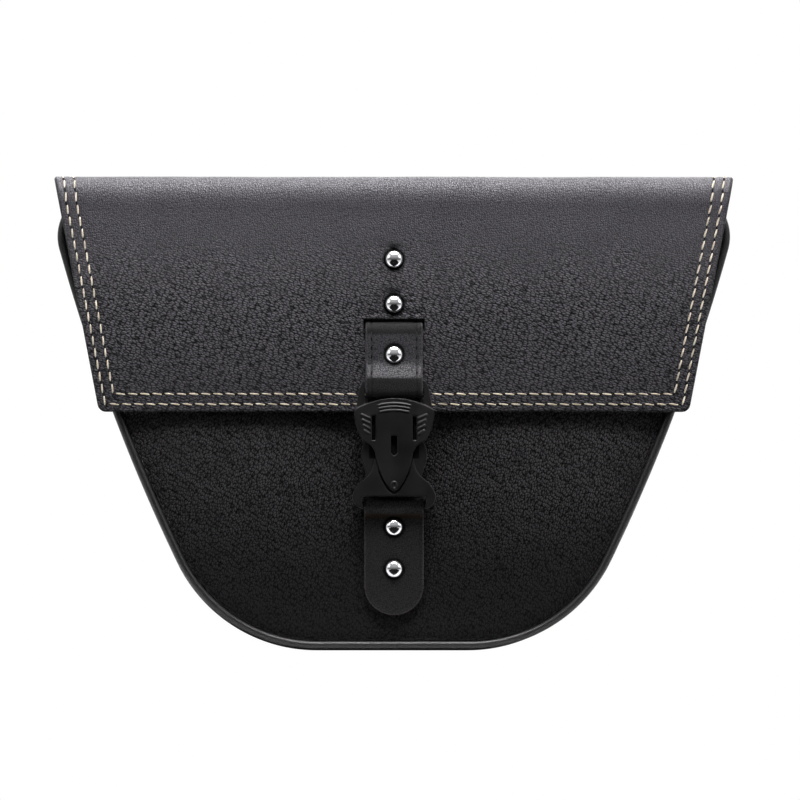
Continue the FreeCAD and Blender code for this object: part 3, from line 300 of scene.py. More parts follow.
class Sheet:
    """Leather of one thickness laid along a route, with rounded cut edges and relief pressed in its face."""

    def __init__(self, name, samples, width, rows, outline, thick, rounding, step, relief=None, holes=(),
                 near=(0, 0.25, 0.6, 1.1, 1.8, 2.8, 4.5), centre=0.0, shade=None, between=None):
        self.samples, self.outline, self.thick = samples, outline, thick
        self.rounding, self.relief, self.centre = rounding, relief, centre
        self.holes = holes
        hole_runs = []
        for x1, x2, s1, s2 in holes:
            hole_runs += runs([(x1, s1), (x2, s1), (x2, s2), (x1, s2)], closed=True)
        self.all_runs = outline + hole_runs
        fixed = sorted({x for hole in holes for edge in (-1, 1)
                        for x in [hole[(edge + 1) // 2] + edge * n for n in (0, 0.4, 1.0, 2.0, 3.5)]})
        inner_fixed = []
        if fixed:
            low, high = fixed[0], fixed[-1]
            gap_at = [i for i in range(len(fixed) - 1) if fixed[i + 1] - fixed[i] > 2 * step]
            inner_fixed = list(fixed)
            for i in gap_at:
                count = round((fixed[i + 1] - fixed[i]) / (between or step))
                inner_fixed += [fixed[i] + (fixed[i + 1] - fixed[i]) * k / count for k in range(1, count)]
            inner_fixed.sort()
        widest = max(width(s) for s in rows)
        self.rows = rows
        self.columns = []
        for s in rows:
            w = width(s)
            inner = w - near[-1]
            if inner_fixed:
                side = [inner_fixed[-1] + (inner - inner_fixed[-1]) * k
                        / max(1, round((widest - near[-1] - inner_fixed[-1]) / step))
                        for k in range(1, max(1, round((widest - near[-1] - inner_fixed[-1]) / step)) + 1)]
                half_right = side + [w - n for n in reversed(near[:-1])]
                line = [-x for x in reversed(half_right)] + inner_fixed + half_right
            else:
                count = max(2, round(2 * (widest - near[-1]) / step))
                line = [-w + n for n in near[:-1]] + [-inner + 2 * inner * k / count for k in range(count + 1)]
                line += [w - n for n in reversed(near[:-1])]
            self.columns.append(line)
        points, faces, flat, edge, painted_shade = [], [], [], [], []
        front, back = {}, {}
        for j, s in enumerate(rows):
            for i, x in enumerate(self.columns[j]):
                d = edge_distance(self.all_runs, x, s)
                shut = d < 1e-4
                front[i, j] = len(points)
                points.append(self.place(x, s, d=d))
                flat.append((x * MM, s * MM))
                edge.append(d * MM)
                painted_shade.append(max(0.0, min(1.0, shade(x, s, d))) if shade else 0.0)
                if shut:
                    back[i, j] = front[i, j]
                else:
                    back[i, j] = len(points)
                    points.append(self.under(x, s, d))
                    flat.append((x * MM + 1.0, s * MM))
                    edge.append(d * MM)
                    painted_shade.append(0.0)
        for j in range(len(rows) - 1):
            for i in range(len(self.columns[j]) - 1):
                x = (self.columns[j][i] + self.columns[j][i + 1]) / 2
                s = (rows[j] + rows[j + 1]) / 2
                if any(x1 < x < x2 and s1 < s < s2 for x1, x2, s1, s2 in holes):
                    continue
                for side, turned in ((front, False), (back, True)):
                    ring = [side[i, j], side[i, j + 1], side[i + 1, j + 1], side[i + 1, j]]
                    ring = list(dict.fromkeys(ring))
                    if len(ring) < 3:
                        continue
                    faces.append(ring[::-1] if turned else ring)
        used = sorted({v for face in faces for v in face})
        renumber = {v: k for k, v in enumerate(used)}
        points, flat = [points[v] for v in used], [flat[v] for v in used]
        edge, painted_shade = [edge[v] for v in used], [painted_shade[v] for v in used]
        faces = [[renumber[v] for v in face] for face in faces]
        mesh = bpy.data.meshes.new(name)
        mesh.from_pydata([(x * MM, y * MM, z * MM) for x, y, z in points], [], faces)
        cover = mesh.uv_layers.new(name="leather")
        for loop in mesh.loops:
            cover.data[loop.index].uv = flat[loop.vertex_index]
        mark = mesh.attributes.new("edge", "FLOAT", "POINT")
        mark.data.foreach_set("value", edge)
        # Painted shade marked by shade(x, s, d) goes into this attribute, which the leather material turns near black.
        mark = mesh.attributes.new("painted_shade", "FLOAT", "POINT")
        mark.data.foreach_set("value", painted_shade)
        mesh.polygons.foreach_set("use_smooth", [True] * len(mesh.polygons))
        mesh.validate()
        self.object = in_scene(name, mesh)

    def half(self, d):
        r = self.rounding
        if d >= r:
            return self.thick / 2
        return self.thick / 2 * math.sqrt(max(0.0, 1 - (1 - d / r) ** 2))

    def place(self, x, s, d=None, lift=0.0):
        """A point of the outer face, or lift mm above it."""
        if d is None:
            d = edge_distance(self.all_runs, x, s)
        y, z, oy, oz = at(self.samples, s)
        rise = self.half(d) + lift
        if self.relief:
            rise += self.relief(x, s, d) * min(1.0, d / self.rounding)
        return x + self.centre, y + oy * rise, z + oz * rise

    def under(self, x, s, d):
        y, z, oy, oz = at(self.samples, s)
        return x + self.centre, y - oy * self.half(d), z - oz * self.half(d)


def ladder(stops, step):
    """Row places: every stop is kept, and the gaps between stops are filled about a step apart."""
    stops = sorted(set(stops))
    rows = []
    for a, b in zip(stops, stops[1:]):
        count = max(1, round((b - a) / step))
        rows += [a + (b - a) * k / count for k in range(count)]
    return rows + [stops[-1]]


def bell(distance, spread):
    """1 at no distance, falling smoothly away over the spread."""
    return math.exp(-(distance / spread) ** 2)


leather_mid = 277.0                   # middle of the top leather's thickness
hinge_y, fold_y, fold_z, fold_mid = 51.1, -41.7, 262.0, 15.0
flap_half, hem_half, hem_z, hem_corner = 200.0, 173.5, 139.4, 4.0
split_y = 20.0                        # where the flap's leather is split into its rear piece and its front piece
skirt_y = fold_y - fold_mid
flap_route = route([(split_y, leather_mid, 0), (skirt_y, leather_mid, fold_mid), (skirt_y, hem_z, 0)])
flap_length = flap_route[-1][0]
fold_start = split_y - fold_y
fold_end = fold_start + fold_mid * math.pi / 2
slit_z, slit_half_height, slit_half = 190.4, 3.0, 17.5
row_outer, row_inner = 4.5, 10.5      # how far in from the edge the two stitch rows lie
rivet_high_z, rivet_low_z, strap_rivet_z = 229.3, 202.9, 172.9


def skirt_s(z):
    """Length along the flap's leather at a height on the skirt."""
    return flap_length - (z - hem_z)


def taper(z):
    """Half width of the flap at a height: full at the top, tapering straight to the hem."""
    return flap_half - (flap_half - hem_half) * (leather_mid - z) / (leather_mid - hem_z)


def flap_side(s):
    """Half width along the flap's leather, eased in to the rear."""
    return taper(at(flap_route, s)[1]) - 6.5 * max(0.0, 1.0 - s / fold_start)


def flap_width(s):
    """The same with the hem's two corners rounded."""
    rest = flap_length - s
    w = flap_side(s)
    if rest < hem_corner:
        w -= hem_corner - math.sqrt(max(0.0, hem_corner ** 2 - (hem_corner - rest) ** 2))
    return w


hem_stops = [flap_length - n for n in (0, 0.25, 0.6, 1.1, 1.8, 2.8, 4.0)]
fold_steps = [fold_start + (fold_end - fold_start) * k / 8 for k in range(9)]
side_points = [(flap_width(s), s) for s in [0] + fold_steps + [flap_length - 4.0] + [
    flap_length - hem_corner * (1 - math.sin(k * math.pi / 16)) for k in range(1, 9)]]
flap_outline = runs([(-x, s) for x, s in side_points] + side_points[::-1])
flap_rivets = [(0.0, skirt_s(rivet_high_z)), (0.0, skirt_s(rivet_low_z))]
slit_low, slit_high = skirt_s(slit_z + slit_half_height), skirt_s(slit_z - slit_half_height)


def slit_distance(x, s):
    """How far a point of the flap lies from the slit's edge, 0 inside it."""
    dx = max(0.0, abs(x) - slit_half)
    ds = max(0.0, slit_low - s, s - slit_high)
    return math.hypot(dx, ds)


def flap_relief(x, s, d):
    """Stitch channels, a swollen edge, a lip pressed round the slit, puckers over the rivets, slow waves."""
    rise = -0.30 * bell(d - row_outer, 0.9) - 0.28 * bell(d - row_inner, 0.9) + 0.12 * bell(d - 7.5, 1.4)
    away = slit_distance(x, s)
    rise += 0.60 * bell(away - 1.2, 0.9) - 0.40 * bell(away - 3.6, 1.4)
    for rx, rs in flap_rivets:
        far = math.hypot(x - rx, s - rs)
        rise -= 0.55 * bell(far, 8.5) + 0.45 * bell(far - 5.6, 1.1)
        for side in (-1, 1):
            along, across = s - rs + 8.0, x - rx - side * (2.2 + 0.35 * (s - rs + 8.0))
            rise -= 0.30 * bell(along, 2.6) * bell(across, 1.1)
    rise += 2.0 * bell(s - (fold_start + fold_end) / 2 + 1.0, 7.0)
    low = noise.noise(Vector((x * 0.018, s * 0.03, 3.1)))
    mid = noise.noise(Vector((x * 0.06 + 9.0, s * 0.09, 7.7)))
    rise += 0.38 * low + 0.10 * mid
    return rise


def flap_painted_shade(x, s, d):
    """Painted shade round each rivet, in the pucker above it and in the slit's mouth."""
    dark = 0.75 * bell(slit_distance(x, s), 0.7)
    for rx, rs in flap_rivets:
        far = math.hypot(x - rx, s - rs)
        dark += 0.95 * bell(max(0.0, far - 5.9), 0.7)
        dark += 0.70 * bell(s - rs + 8.0, 1.6) * bell(x - rx, 5.0)
    return dark


def knit(rows, extra, gap=0.5):
    """Rows with the extra ones added wherever none lies close."""
    return sorted(rows + [s for s in extra if min(abs(s - r) for r in rows) > gap])


slit_steps = (0.4, 1.0, 2.0, 3.5)
flap_rows = ladder([0.0] + fold_steps + [slit_low - n for n in slit_steps] + [slit_low, slit_high]
                   + [slit_high + n for n in slit_steps] + [flap_length - n for n in (12.5, 10.5, 9.0, 6.2)]
                   + hem_stops, 2.4)
flap_rows = knit(flap_rows, ladder([flap_rivets[0][1] - 13, slit_low - 3.5], 0.9))
flap_near = (0, 0.25, 0.6, 1.1, 1.8, 2.8, 3.7, 4.5, 5.3, 6.3, 8.0, 9.6, 10.5, 11.4, 13.0)
flap = Sheet("flap_leather", flap_route, flap_width, flap_rows, flap_outline, 2.0, 1.1, 2.6, flap_relief,
             holes=[(-slit_half, slit_half, slit_low, slit_high)], near=flap_near, shade=flap_painted_shade, between=0.9)


def noisy(tree, vector, scale, detail, rough=0.5, twist=0.0):
    """Outputs of a cloudy noise laid at a vector."""
    return node(tree, "ShaderNodeTexNoise", {"Vector": vector, "Scale": scale, "Detail": detail, "Roughness": rough,
                                             "Distortion": twist}).outputs


def leather_grain():
    """Pebble grain: domed cells between creases, finer pores on them, and slow cloudy change across the hide."""
    made = bpy.data.node_groups.new("leather grain", "ShaderNodeTree")
    for name, kind, value in (("Place", "NodeSocketVector", None), ("Cell", "NodeSocketFloat", 0.0015),
                              ("Slant", "NodeSocketFloat", 0.0), ("Stretch", "NodeSocketFloat", 1.3),
                              ("Warp", "NodeSocketFloat", 0.5), ("Crease", "NodeSocketFloat", 0.2)):
        socket = made.interface.new_socket(name, in_out="INPUT", socket_type=kind)
        if value is not None:
            socket.default_value = value
    for name in ("Height", "Crease", "Cloud"):
        made.interface.new_socket(name, in_out="OUTPUT", socket_type="NodeSocketFloat")
    given = node(made, "NodeGroupInput").outputs
    turned = node(made, "ShaderNodeVectorRotate", {"Vector": given["Place"], "Angle": given["Slant"]},
                  rotation_type="Z_AXIS")
    rate = maths(made, "DIVIDE", 1.0, given["Cell"])

    def vector(operation, inputs):
        return node(made, "ShaderNodeVectorMath", inputs, operation=operation).outputs[0]

    def drawn_out(by):
        """The place on the hide counted in cells that are drawn out along it."""
        scale = node(made, "ShaderNodeCombineXYZ", {"X": rate, "Y": maths(made, "DIVIDE", rate, by), "Z": rate})
        return vector("MULTIPLY", {0: turned.outputs[0], 1: scale.outputs[0]})

    cells = drawn_out(maths(made, "POWER", given["Stretch"], 0.7))
    push = vector("SUBTRACT", {0: noisy(made, cells, 0.45, 2.0)["Color"], 1: (0.5, 0.5, 0.5)})
    bent = vector("ADD", {0: cells, 1: vector("SCALE", {0: push, "Scale": given["Warp"]})})

    def cell_distance(feature):
        return node(made, "ShaderNodeTexVoronoi", {"Vector": bent, "Scale": 1.0, "Randomness": 0.85},
                    voronoi_dimensions="2D", feature=feature).outputs["Distance"]

    gap = cell_distance("DISTANCE_TO_EDGE")
    crease = ease(made, gap, 0.0, given["Crease"])
    pores = noisy(made, cells, 2.6, 3.0, 0.6)["Fac"]
    cloud = noisy(made, given["Place"], 55.0, 4.0, 0.6)["Fac"]
    wrinkle = ease(made, noisy(made, drawn_out(given["Stretch"]), 0.95, 1.5, 0.45, 0.3)["Fac"], 0.32, 0.54)
    pit = ease(made, cell_distance("F1"), 0.38, 0.62, 1.0, 0.0)
    height = maths(made, "MULTIPLY", crease, 0.40)
    for part, share in ((ramp(made, gap, 0.0, 0.5), 0.35), (pores, 0.25), (pit, 0.15), (wrinkle, 0.60)):
        height = maths(made, "MULTIPLY_ADD", part, share, height)
    # The Crease output is a painted-shade mask. It falls in the creases, in the pits between the domes and in the
    # wrinkles, where the leather material darkens the colour.
    crease_shade = maths(made, "MULTIPLY_ADD", wrinkle, 0.65, 0.35)
    for part, share in ((crease, 0.60), (pit, 0.35)):
        crease_shade = maths(made, "MULTIPLY", crease_shade, maths(made, "MULTIPLY_ADD", part, share, 1.0 - share))
    node(made, "NodeGroupOutput", {"Height": height, "Crease": crease_shade, "Cloud": cloud})
    return made


grain_group = leather_grain()


def place_of(tree, flat):
    """Where the grain is laid from: the leather's own flat pattern, or its place on the bag."""
    here = node(tree, "ShaderNodeTexCoord")
    return here.outputs["UV"] if flat else here.outputs["Object"]


def leather(name, deep, face, cell, slant=0.0, stretch=1.3, depth=0.10, rough=0.45, gloss=0.5, flat=True,
            edge_tone=None, mottle=0.35, warp=0.6, crease=0.30, second=None, zones=(), calm=None, sink=0.4):
    """Black finished leather: grain in its height, painted shade darker in the creases, shine broken by the pebbles.

    second is (cell, slant, stretch, from, to, share): grain of another size that takes over along the pattern's
    length, the first grain showing only a share of its contrast. zones are (low, high, soft, tone) stretches along
    the length whose colour goes to tone and whose shine goes flat; calm is such a stretch where the grain is pulled
    nearly flat. sink is how far the creases are mixed towards a black diffuse as painted shade.
    """
    made, tree = blank(name)
    laid = place_of(tree, flat)
    lengthwise = node(tree, "ShaderNodeSeparateXYZ", {"Vector": laid}).outputs["Y"]

    def grained(cell, slant, stretch):
        return node(tree, "ShaderNodeGroup", {"Place": laid, "Cell": cell * MM, "Slant": math.radians(slant),
                                              "Stretch": stretch, "Warp": warp, "Crease": crease},
                    node_tree=grain_group).outputs

    def stretch_of(low, high, soft):
        """1 along a stretch of the pattern's length, 0 beyond it."""
        return maths(tree, "MULTIPLY", ease(tree, lengthwise, (low - soft) * MM, low * MM),
                     ease(tree, lengthwise, high * MM, (high + soft) * MM, 1.0, 0.0))

    grain = grained(cell, slant, stretch)
    height, cut = grain["Height"], grain["Crease"]
    if second:
        *other_lie, start, end, share = second
        other, shift, low = grained(*other_lie), 0.025, 0.8 * (1 - share)
        wander = maths(tree, "MULTIPLY_ADD", grain["Cloud"], 2 * shift, lengthwise)
        take = ease(tree, wander, start * MM + shift, end * MM + shift)
        height, cut = (mid_value(tree, take, ramp(tree, mine, 0.0, 1.0, low, share + low, clamp=False), its)
                       for mine, its in ((height, other["Height"]), (cut, other["Crease"])))
    worn = ramp(tree, grain["Cloud"], 0.3, 0.7, 1.0 - mottle, 1.0)
    amount = maths(tree, "MULTIPLY", cut, worn)
    # Painted shade: the colour goes to deep in the creases, pits and wrinkles. The cloud's mottle varies it at random.
    colour = mid_colour(tree, amount, deep, face)
    shine = ramp(tree, amount, 0.0, 1.0, min(1.0, rough + 0.45), rough)
    # Zones: painted shade on the flap, strap and front panel; on the tab, a brownish band.
    for low, high, soft, shade_and_band_tone in zones:
        zone = stretch_of(low, high, soft)
        colour, shine = mid_colour(tree, zone, colour, shade_and_band_tone), mid_value(tree, zone, shine, 0.9)
    # This attribute is painted shade round rivets, slits and stitch lines: colour near black, shine gone.
    painted_shade = node(tree, "ShaderNodeAttribute", attribute_name="painted_shade").outputs["Fac"]
    colour, shine = mid_colour(tree, painted_shade, colour, (0.001, 0.001, 0.001)), mid_value(tree, painted_shade, shine, 0.95)
    if edge_tone:
        away = node(tree, "ShaderNodeAttribute", attribute_name="edge").outputs["Fac"]
        colour = mid_colour(tree, ramp(tree, away, 0.0002, 0.0011, 1.0, 0.0), colour, edge_tone)
    relief = ramp(tree, stretch_of(*calm), 0.0, 1.0, depth * MM, 0.50 * depth * MM) if calm else depth * MM
    bump = node(tree, "ShaderNodeBump", {"Height": height, "Strength": 1.0, "Distance": relief})
    skin = node(tree, "ShaderNodeBsdfPrincipled", {"Base Color": colour, "Roughness": shine,
                                                   "Normal": bump.outputs[0]})
    skin.inputs["Specular IOR Level"].default_value = gloss
    # Painted shade: the creases and the marked places are mixed towards a black diffuse.
    painted_shade_mix = maths(tree, "MAXIMUM", ramp(tree, cut, 0.15, 0.85, sink, 0.0), painted_shade)
    dark = node(tree, "ShaderNodeBsdfDiffuse", {"Color": (0.001, 0.001, 0.001, 1)})
    both = node(tree, "ShaderNodeMixShader", {0: painted_shade_mix, 1: skin.outputs[0], 2: dark.outputs[0]})
    node(tree, "ShaderNodeOutputMaterial", {"Surface": both.outputs[0]})
    return made


def dress(piece, skin, slot, *stands_for):
    """Gives a piece its finish and hides the CAD nodes it stands for; slot is not used."""
    piece.data.materials.append(skin)
    if stands_for:
        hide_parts(*stands_for)


# Painted shade: the zone darkens the flap from the fold down towards the hem.
flap_skin = leather("flap_leather", (0.0004, 0.0004, 0.0005), (0.047, 0.043, 0.054), 1.2, slant=5, stretch=1.2,
                    zones=((skirt_s(140.0) + 77.0, skirt_s(140.0) + 300.0, 200.0, (0.020, 0.018, 0.023)),),
                    depth=0.60, rough=0.38, gloss=0.50, edge_tone=(0.006, 0.005, 0.005), mottle=0.25, crease=0.28,
                    second=(1.3, 71, 2.8, skirt_s(262.0), skirt_s(190.0), 0.45), calm=(0.0, fold_end + 2.0, 12.0),
                    sink=0.8)
dress(flap.object, flap_skin, "flap_leather", "flap_top", "flap_fold", "flap_skirt")
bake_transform(flap.object)

# ---------------------------------------------------------------- flap's rear part and tail
# The same hide carries on over the top's rear edge and down the back, where it is stitched to the bag.
tail_low, tail_half = 236.0, 190.0
tail_length = leather_mid - tail_low
rear_route = route([(hinge_y, tail_low, 0), (hinge_y, leather_mid, 1.6), (split_y, leather_mid, 0)])
rear_length = rear_route[-1][0]


def rear_width(s):
    """The tail is narrower than the top: the sides ease out from it to the flap's full width."""
    f = max(0.0, min(1.0, (s - tail_length) / (rear_length - tail_length)))
    return tail_half + (flap_side(0.0) - tail_half) * f


def rear_relief(x, s, d):
    """One stitch channel on the tail and two on the top."""
    rise = -0.30 * bell(d - row_outer, 0.9)
    if s > tail_length:
        rise -= 0.28 * bell(d - row_inner, 0.9)
    return rise + 0.12 * noise.noise(Vector((x * 0.02, s * 0.04, 21.0)))


rear_sides = [(rear_width(s), s) for s in ladder([0, 31, 42, rear_length], 2.0)]
rear_outline = runs([(x, s) for x, s in reversed(rear_sides)] + [(-x, s) for x, s in rear_sides])
rear_rows = ladder([0, 0.25, 0.6, 1.1, 1.8, 2.8, 3.7, 4.5, 5.3, 38.5, 42.5, 46.0, rear_length], 3.0)
rear = Sheet("flap_rear_leather", rear_route, rear_width, rear_rows, rear_outline, 2.0, 1.1, 4.0, rear_relief,
             near=flap_near)
dress(rear.object, flap_skin, "flap_leather", "flap_tail")
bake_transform(rear.object)

# ---------------------------------------------------------------- flap stitching
# Waxed cream linen thread in two rows along both sides and the hem, sewn through leather and lining.
# Each stitch lies in its channel between two awl holes, and the rows run on over the top.


def finished(tree, colour, rough, height=None, strength=1.0, distance=0.0, fixed=()):
    """Ends a material in one Principled shader, bumped by height; fixed are constants of its own sockets."""
    skin = node(tree, "ShaderNodeBsdfPrincipled", {"Base Color": colour, "Roughness": rough})
    if height is not None:
        bump = node(tree, "ShaderNodeBump", {"Height": height, "Strength": strength, "Distance": distance})
        tree.links.new(bump.outputs[0], skin.inputs["Normal"])
    for key, value in dict(fixed).items():
        skin.inputs[key].default_value = value
    node(tree, "ShaderNodeOutputMaterial", {"Surface": skin.outputs[0]})


def twisted_thread(name, colour, dark, rough):
    """Waxed plied thread: plies wind round it as fine slanted ridges, darker in between."""
    made, tree = blank(name)
    here = node(tree, "ShaderNodeTexCoord").outputs
    plies = node(tree, "ShaderNodeTexWave", {"Vector": here["UV"], "Scale": 1.2, "Distortion": 0.6, "Detail": 1.0},
                 bands_direction="DIAGONAL").outputs["Fac"]
    fuzz = noisy(tree, here["Object"], 900.0, 2.0)["Fac"]
    amount = ramp(tree, maths(tree, "MULTIPLY", plies, fuzz), 0.0, 0.45)
    finished(tree, mid_colour(tree, amount, dark, colour), rough, plies, 0.7, 0.0002)
    return made


def painted_shade_finish(name, colour):
    """Painted shade for dark hollows such as a needle hole's mouth: near-black, with a faint grit and little shine."""
    made, tree = blank(name)
    grit = noisy(tree, place_of(tree, False), 1500.0, 2.0)["Fac"]
    finished(tree, mid_colour(tree, grit, colour, [2.2 * c for c in colour]), 0.85,
             fixed={"Specular IOR Level": 0.1})
    return made


def along(points, pitch, start=0.0):
    """Places and headings every pitch mm along a line of (x, s) points."""
    found, want, gone = [], start, 0.0
    for (x1, s1), (x2, s2) in zip(points, points[1:]):
        length = math.hypot(x2 - x1, s2 - s1)
        while want <= gone + length and length > 1e-9:
            f = (want - gone) / length
            found.append((x1 + (x2 - x1) * f, s1 + (s2 - s1) * f, (x2 - x1) / length, (s2 - s1) / length))
            want += pitch
        gone += length
    return found


def bead(points, faces, flat, middle, long_way, side_way, up, long, wide, high, sink, turns=8, rings=7):
    """A rounded lozenge of thread laid on a surface."""
    first = len(points)
    for j in range(rings + 1):
        a = math.pi * j / rings
        reach = -math.cos(a) * long / 2
        girth = math.sin(a) ** 0.6 if 0 < j < rings else 0.02
        for i in range(turns):
            b = 2 * math.pi * i / turns
            points.append(middle + long_way * reach + side_way * (math.cos(b) * girth * wide / 2)
                          + up * (math.sin(b) * girth * high + sink))
            flat.append((6.0 * i / turns, 3.0 * j / rings * long / wide * 0.5))
    for j in range(rings):
        for i in range(turns):
            n = (i + 1) % turns
            faces.append((first + j * turns + i, first + j * turns + n, first + (j + 1) * turns + n,
                          first + (j + 1) * turns + i))


def mesh_object(name, points, faces, flat=None):
    """An object from points in mm, and their places on the pattern where they have any."""
    mesh = bpy.data.meshes.new(name)
    mesh.from_pydata([(p[0] * MM, p[1] * MM, p[2] * MM) for p in points], [], faces)
    if flat:
        cover = mesh.uv_layers.new(name="laid")
        for loop in mesh.loops:
            cover.data[loop.index].uv = flat[loop.vertex_index]
    mesh.polygons.foreach_set("use_smooth", [True] * len(mesh.polygons))
    return in_scene(name, mesh)


def sew(name, surface, lines, pitch, long, wide, high, slant=7.0, holes=True, sink=-0.02):
    """Stitches along lines on a surface: surface(x, s) gives the point, and its frame is read from close by."""
    points, faces, flat, dots, dot_faces, dot_flat = [], [], [], [], [], []

    def heading(x, s, dx, ds):
        ahead, behind = surface(x + dx * 0.5, s + ds * 0.5), surface(x - dx * 0.5, s - ds * 0.5)
        return (Vector(ahead) - Vector(behind)).normalized()

    for line in lines:
        for x, s, dx, ds in along(line, pitch, pitch / 2):
            here = Vector(surface(x, s))
            way, across = heading(x, s, dx, ds), heading(x, s, -ds, dx)
            up = way.cross(across).normalized()
            across = up.cross(way)
            lean = math.radians(slant)
            long_way = way * math.cos(lean) + across * math.sin(lean)
            bead(points, faces, flat, here, long_way, up.cross(long_way), up, long, wide, high, sink)
            # The lozenge laid between stitches is painted shade, a near-black stand-in for the shadow in the needle
            # hole.
            if holes:
                bead(dots, dot_faces, dot_flat, here + way * (pitch / 2), way, across, up, pitch - long + 1.3,
                     wide * 1.15, 0.16, -0.02, turns=8, rings=4)
    made = [mesh_object(name, points, faces, flat)]
    if holes:
        made.append(mesh_object(name + "_holes", dots, dot_faces, dot_flat))
    return made


def corner_turn(x, s, radius, hand):
    """Points of a row that turns the hem corner."""
    return [(hand * (x - radius + radius * math.cos(a)), s - radius + radius * math.sin(a))
            for a in [k * math.pi / 12 for k in range(0, 7)]]


flap_rows_sewn = []
for inset, turn in ((row_outer, 1.6), (row_inner, 1.2)):
    low_s = flap_length - inset
    side_s = [0.0, fold_start, fold_end, low_s - turn]
    line = [(-(flap_side(s) - inset), s) for s in side_s]
    line += corner_turn(flap_side(low_s) - inset, low_s, turn, -1)[1:]
    line += corner_turn(flap_side(low_s) - inset, low_s, turn, 1)[::-1]
    line += [(flap_side(s) - inset, s) for s in side_s[::-1]]
    flap_rows_sewn.append(line)
cream = twisted_thread("cream_thread", (0.90, 0.83, 0.70), (0.42, 0.32, 0.20), 0.55)
# Near-black painted shade for the needle holes.
painted_hole_shade = painted_shade_finish("awl_holes_painted_shade", (0.004, 0.003, 0.003))
sewn = sew("flap_stitches", flap.place, flap_rows_sewn, 7.15, 5.7, 1.1, 0.62)
for piece, skin in zip(sewn, (cream, painted_hole_shade)):
    dress(piece, skin, "flap_leather")
    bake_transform(piece)

tail_row = tail_half - row_outer
tail_lines = [[(-tail_row, 34.0), (-tail_row, row_outer), (tail_row, row_outer), (tail_row, 34.0)]]
for inset in (row_outer, row_inner):
    for hand in (-1, 1):
        tail_lines.append([(hand * (rear_width(s) - inset), s) for s in (rear_length, 50.0)])
sewn = sew("flap_rear_stitches", rear.place, tail_lines, 7.15, 5.9, 1.15, 0.42)
for piece, skin in zip(sewn, (cream, painted_hole_shade)):
    dress(piece, skin, "flap_leather")
    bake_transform(piece)

# ---------------------------------------------------------------- flap lining and fold lining
# Black cotton drill glued and sewn inside the flap; over the front roll it bends with the leather.


def drill_cloth(name, deep, face, pitch, depth, flat=True):
    """Black cotton drill: a fine diagonal rib, warp over weft, with lint in it."""
    made, tree = blank(name)
    here = place_of(tree, flat)
    rate = 1 / (pitch * MM)
    laid = node(tree, "ShaderNodeVectorMath", {0: here, 1: (rate, rate, rate)}, operation="MULTIPLY").outputs[0]
    rib = node(tree, "ShaderNodeTexWave", {"Vector": laid, "Scale": 0.32, "Distortion": 0.5, "Detail": 1.0,
                                           "Detail Scale": 2.0}, bands_direction="DIAGONAL").outputs["Fac"]
    weft = node(tree, "ShaderNodeTexWave", {"Vector": laid, "Scale": 0.32, "Distortion": 0.3},
                bands_direction="Y").outputs["Fac"]
    cloth = maths(tree, "MULTIPLY_ADD", weft, 0.45, rib)
    amount = maths(tree, "MULTIPLY", cloth, noisy(tree, here, 120.0, 4.0)["Fac"])
    finished(tree, mid_colour(tree, amount, deep, face), 0.85, cloth, 0.8, depth * MM,
             {"Sheen Weight": 0.25, "Sheen Roughness": 0.5, "Specular IOR Level": 0.25})
    return made


drill = drill_cloth("black_drill", (0.006, 0.006, 0.007), (0.040, 0.038, 0.042), 0.9, 0.12)


def ripple(amount, seed):
    """Slow unevenness of glued cloth."""
    def relief(x, s, d):
        return amount * noise.noise(Vector((x * 0.025, s * 0.035, seed))) * min(1.0, d / 6.0)
    return relief


def oblong(half, length):
    """Outline of a strip with square ends."""
    return runs([(-half, 0), (half, 0), (half, length), (-half, length)], closed=True)


def both_ends(length, *stops):
    """Row places as far in from the one end as from the other."""
    return list(stops) + [length - n for n in stops]


lining_near, lining_corner = (0, 0.2, 0.5, 1.2, 3.0, 6.0), 3.5
roll_reach = 13.4
roll_route = route([(fold_y + 6.0, fold_z + roll_reach, 0), (fold_y - roll_reach, fold_z + roll_reach, roll_reach),
                    (fold_y - roll_reach, fold_z, 0)])


def roll_width(s):
    """Half width of the lining in the fold, a little inside the leather's sides."""
    return taper(at(roll_route, s)[1]) - 1.0


roll_rows = ladder([0, roll_route[-1][0]], 1.5)
roll = Sheet("fold_lining", roll_route, roll_width, roll_rows,
             runs([(roll_width(s), s) for s in roll_rows]) + runs([(-roll_width(s), s) for s in roll_rows]),
             1.15, 0.5, 6.0, None, near=lining_near)
dress(roll.object, drill, "lining")
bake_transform(roll.object)

skirt_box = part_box("flap_skirt_lining")
lining_y = (skirt_box[0][1] + skirt_box[1][1]) / 2 / MM
lining_low, lining_high = skirt_box[0][2] / MM, skirt_box[1][2] / MM
skirt_lining_route = route([(lining_y, lining_low, 0), (lining_y, lining_high, 0)])
lining_length = lining_high - lining_low


def skirt_lining_width(s):
    """Half width of the skirt's lining, with two round corners at the hem."""
    w = taper(lining_low + s) - 1.2
    if s < lining_corner:
        w -= lining_corner - math.sqrt(max(0.0, lining_corner ** 2 - (lining_corner - s) ** 2))
    return w


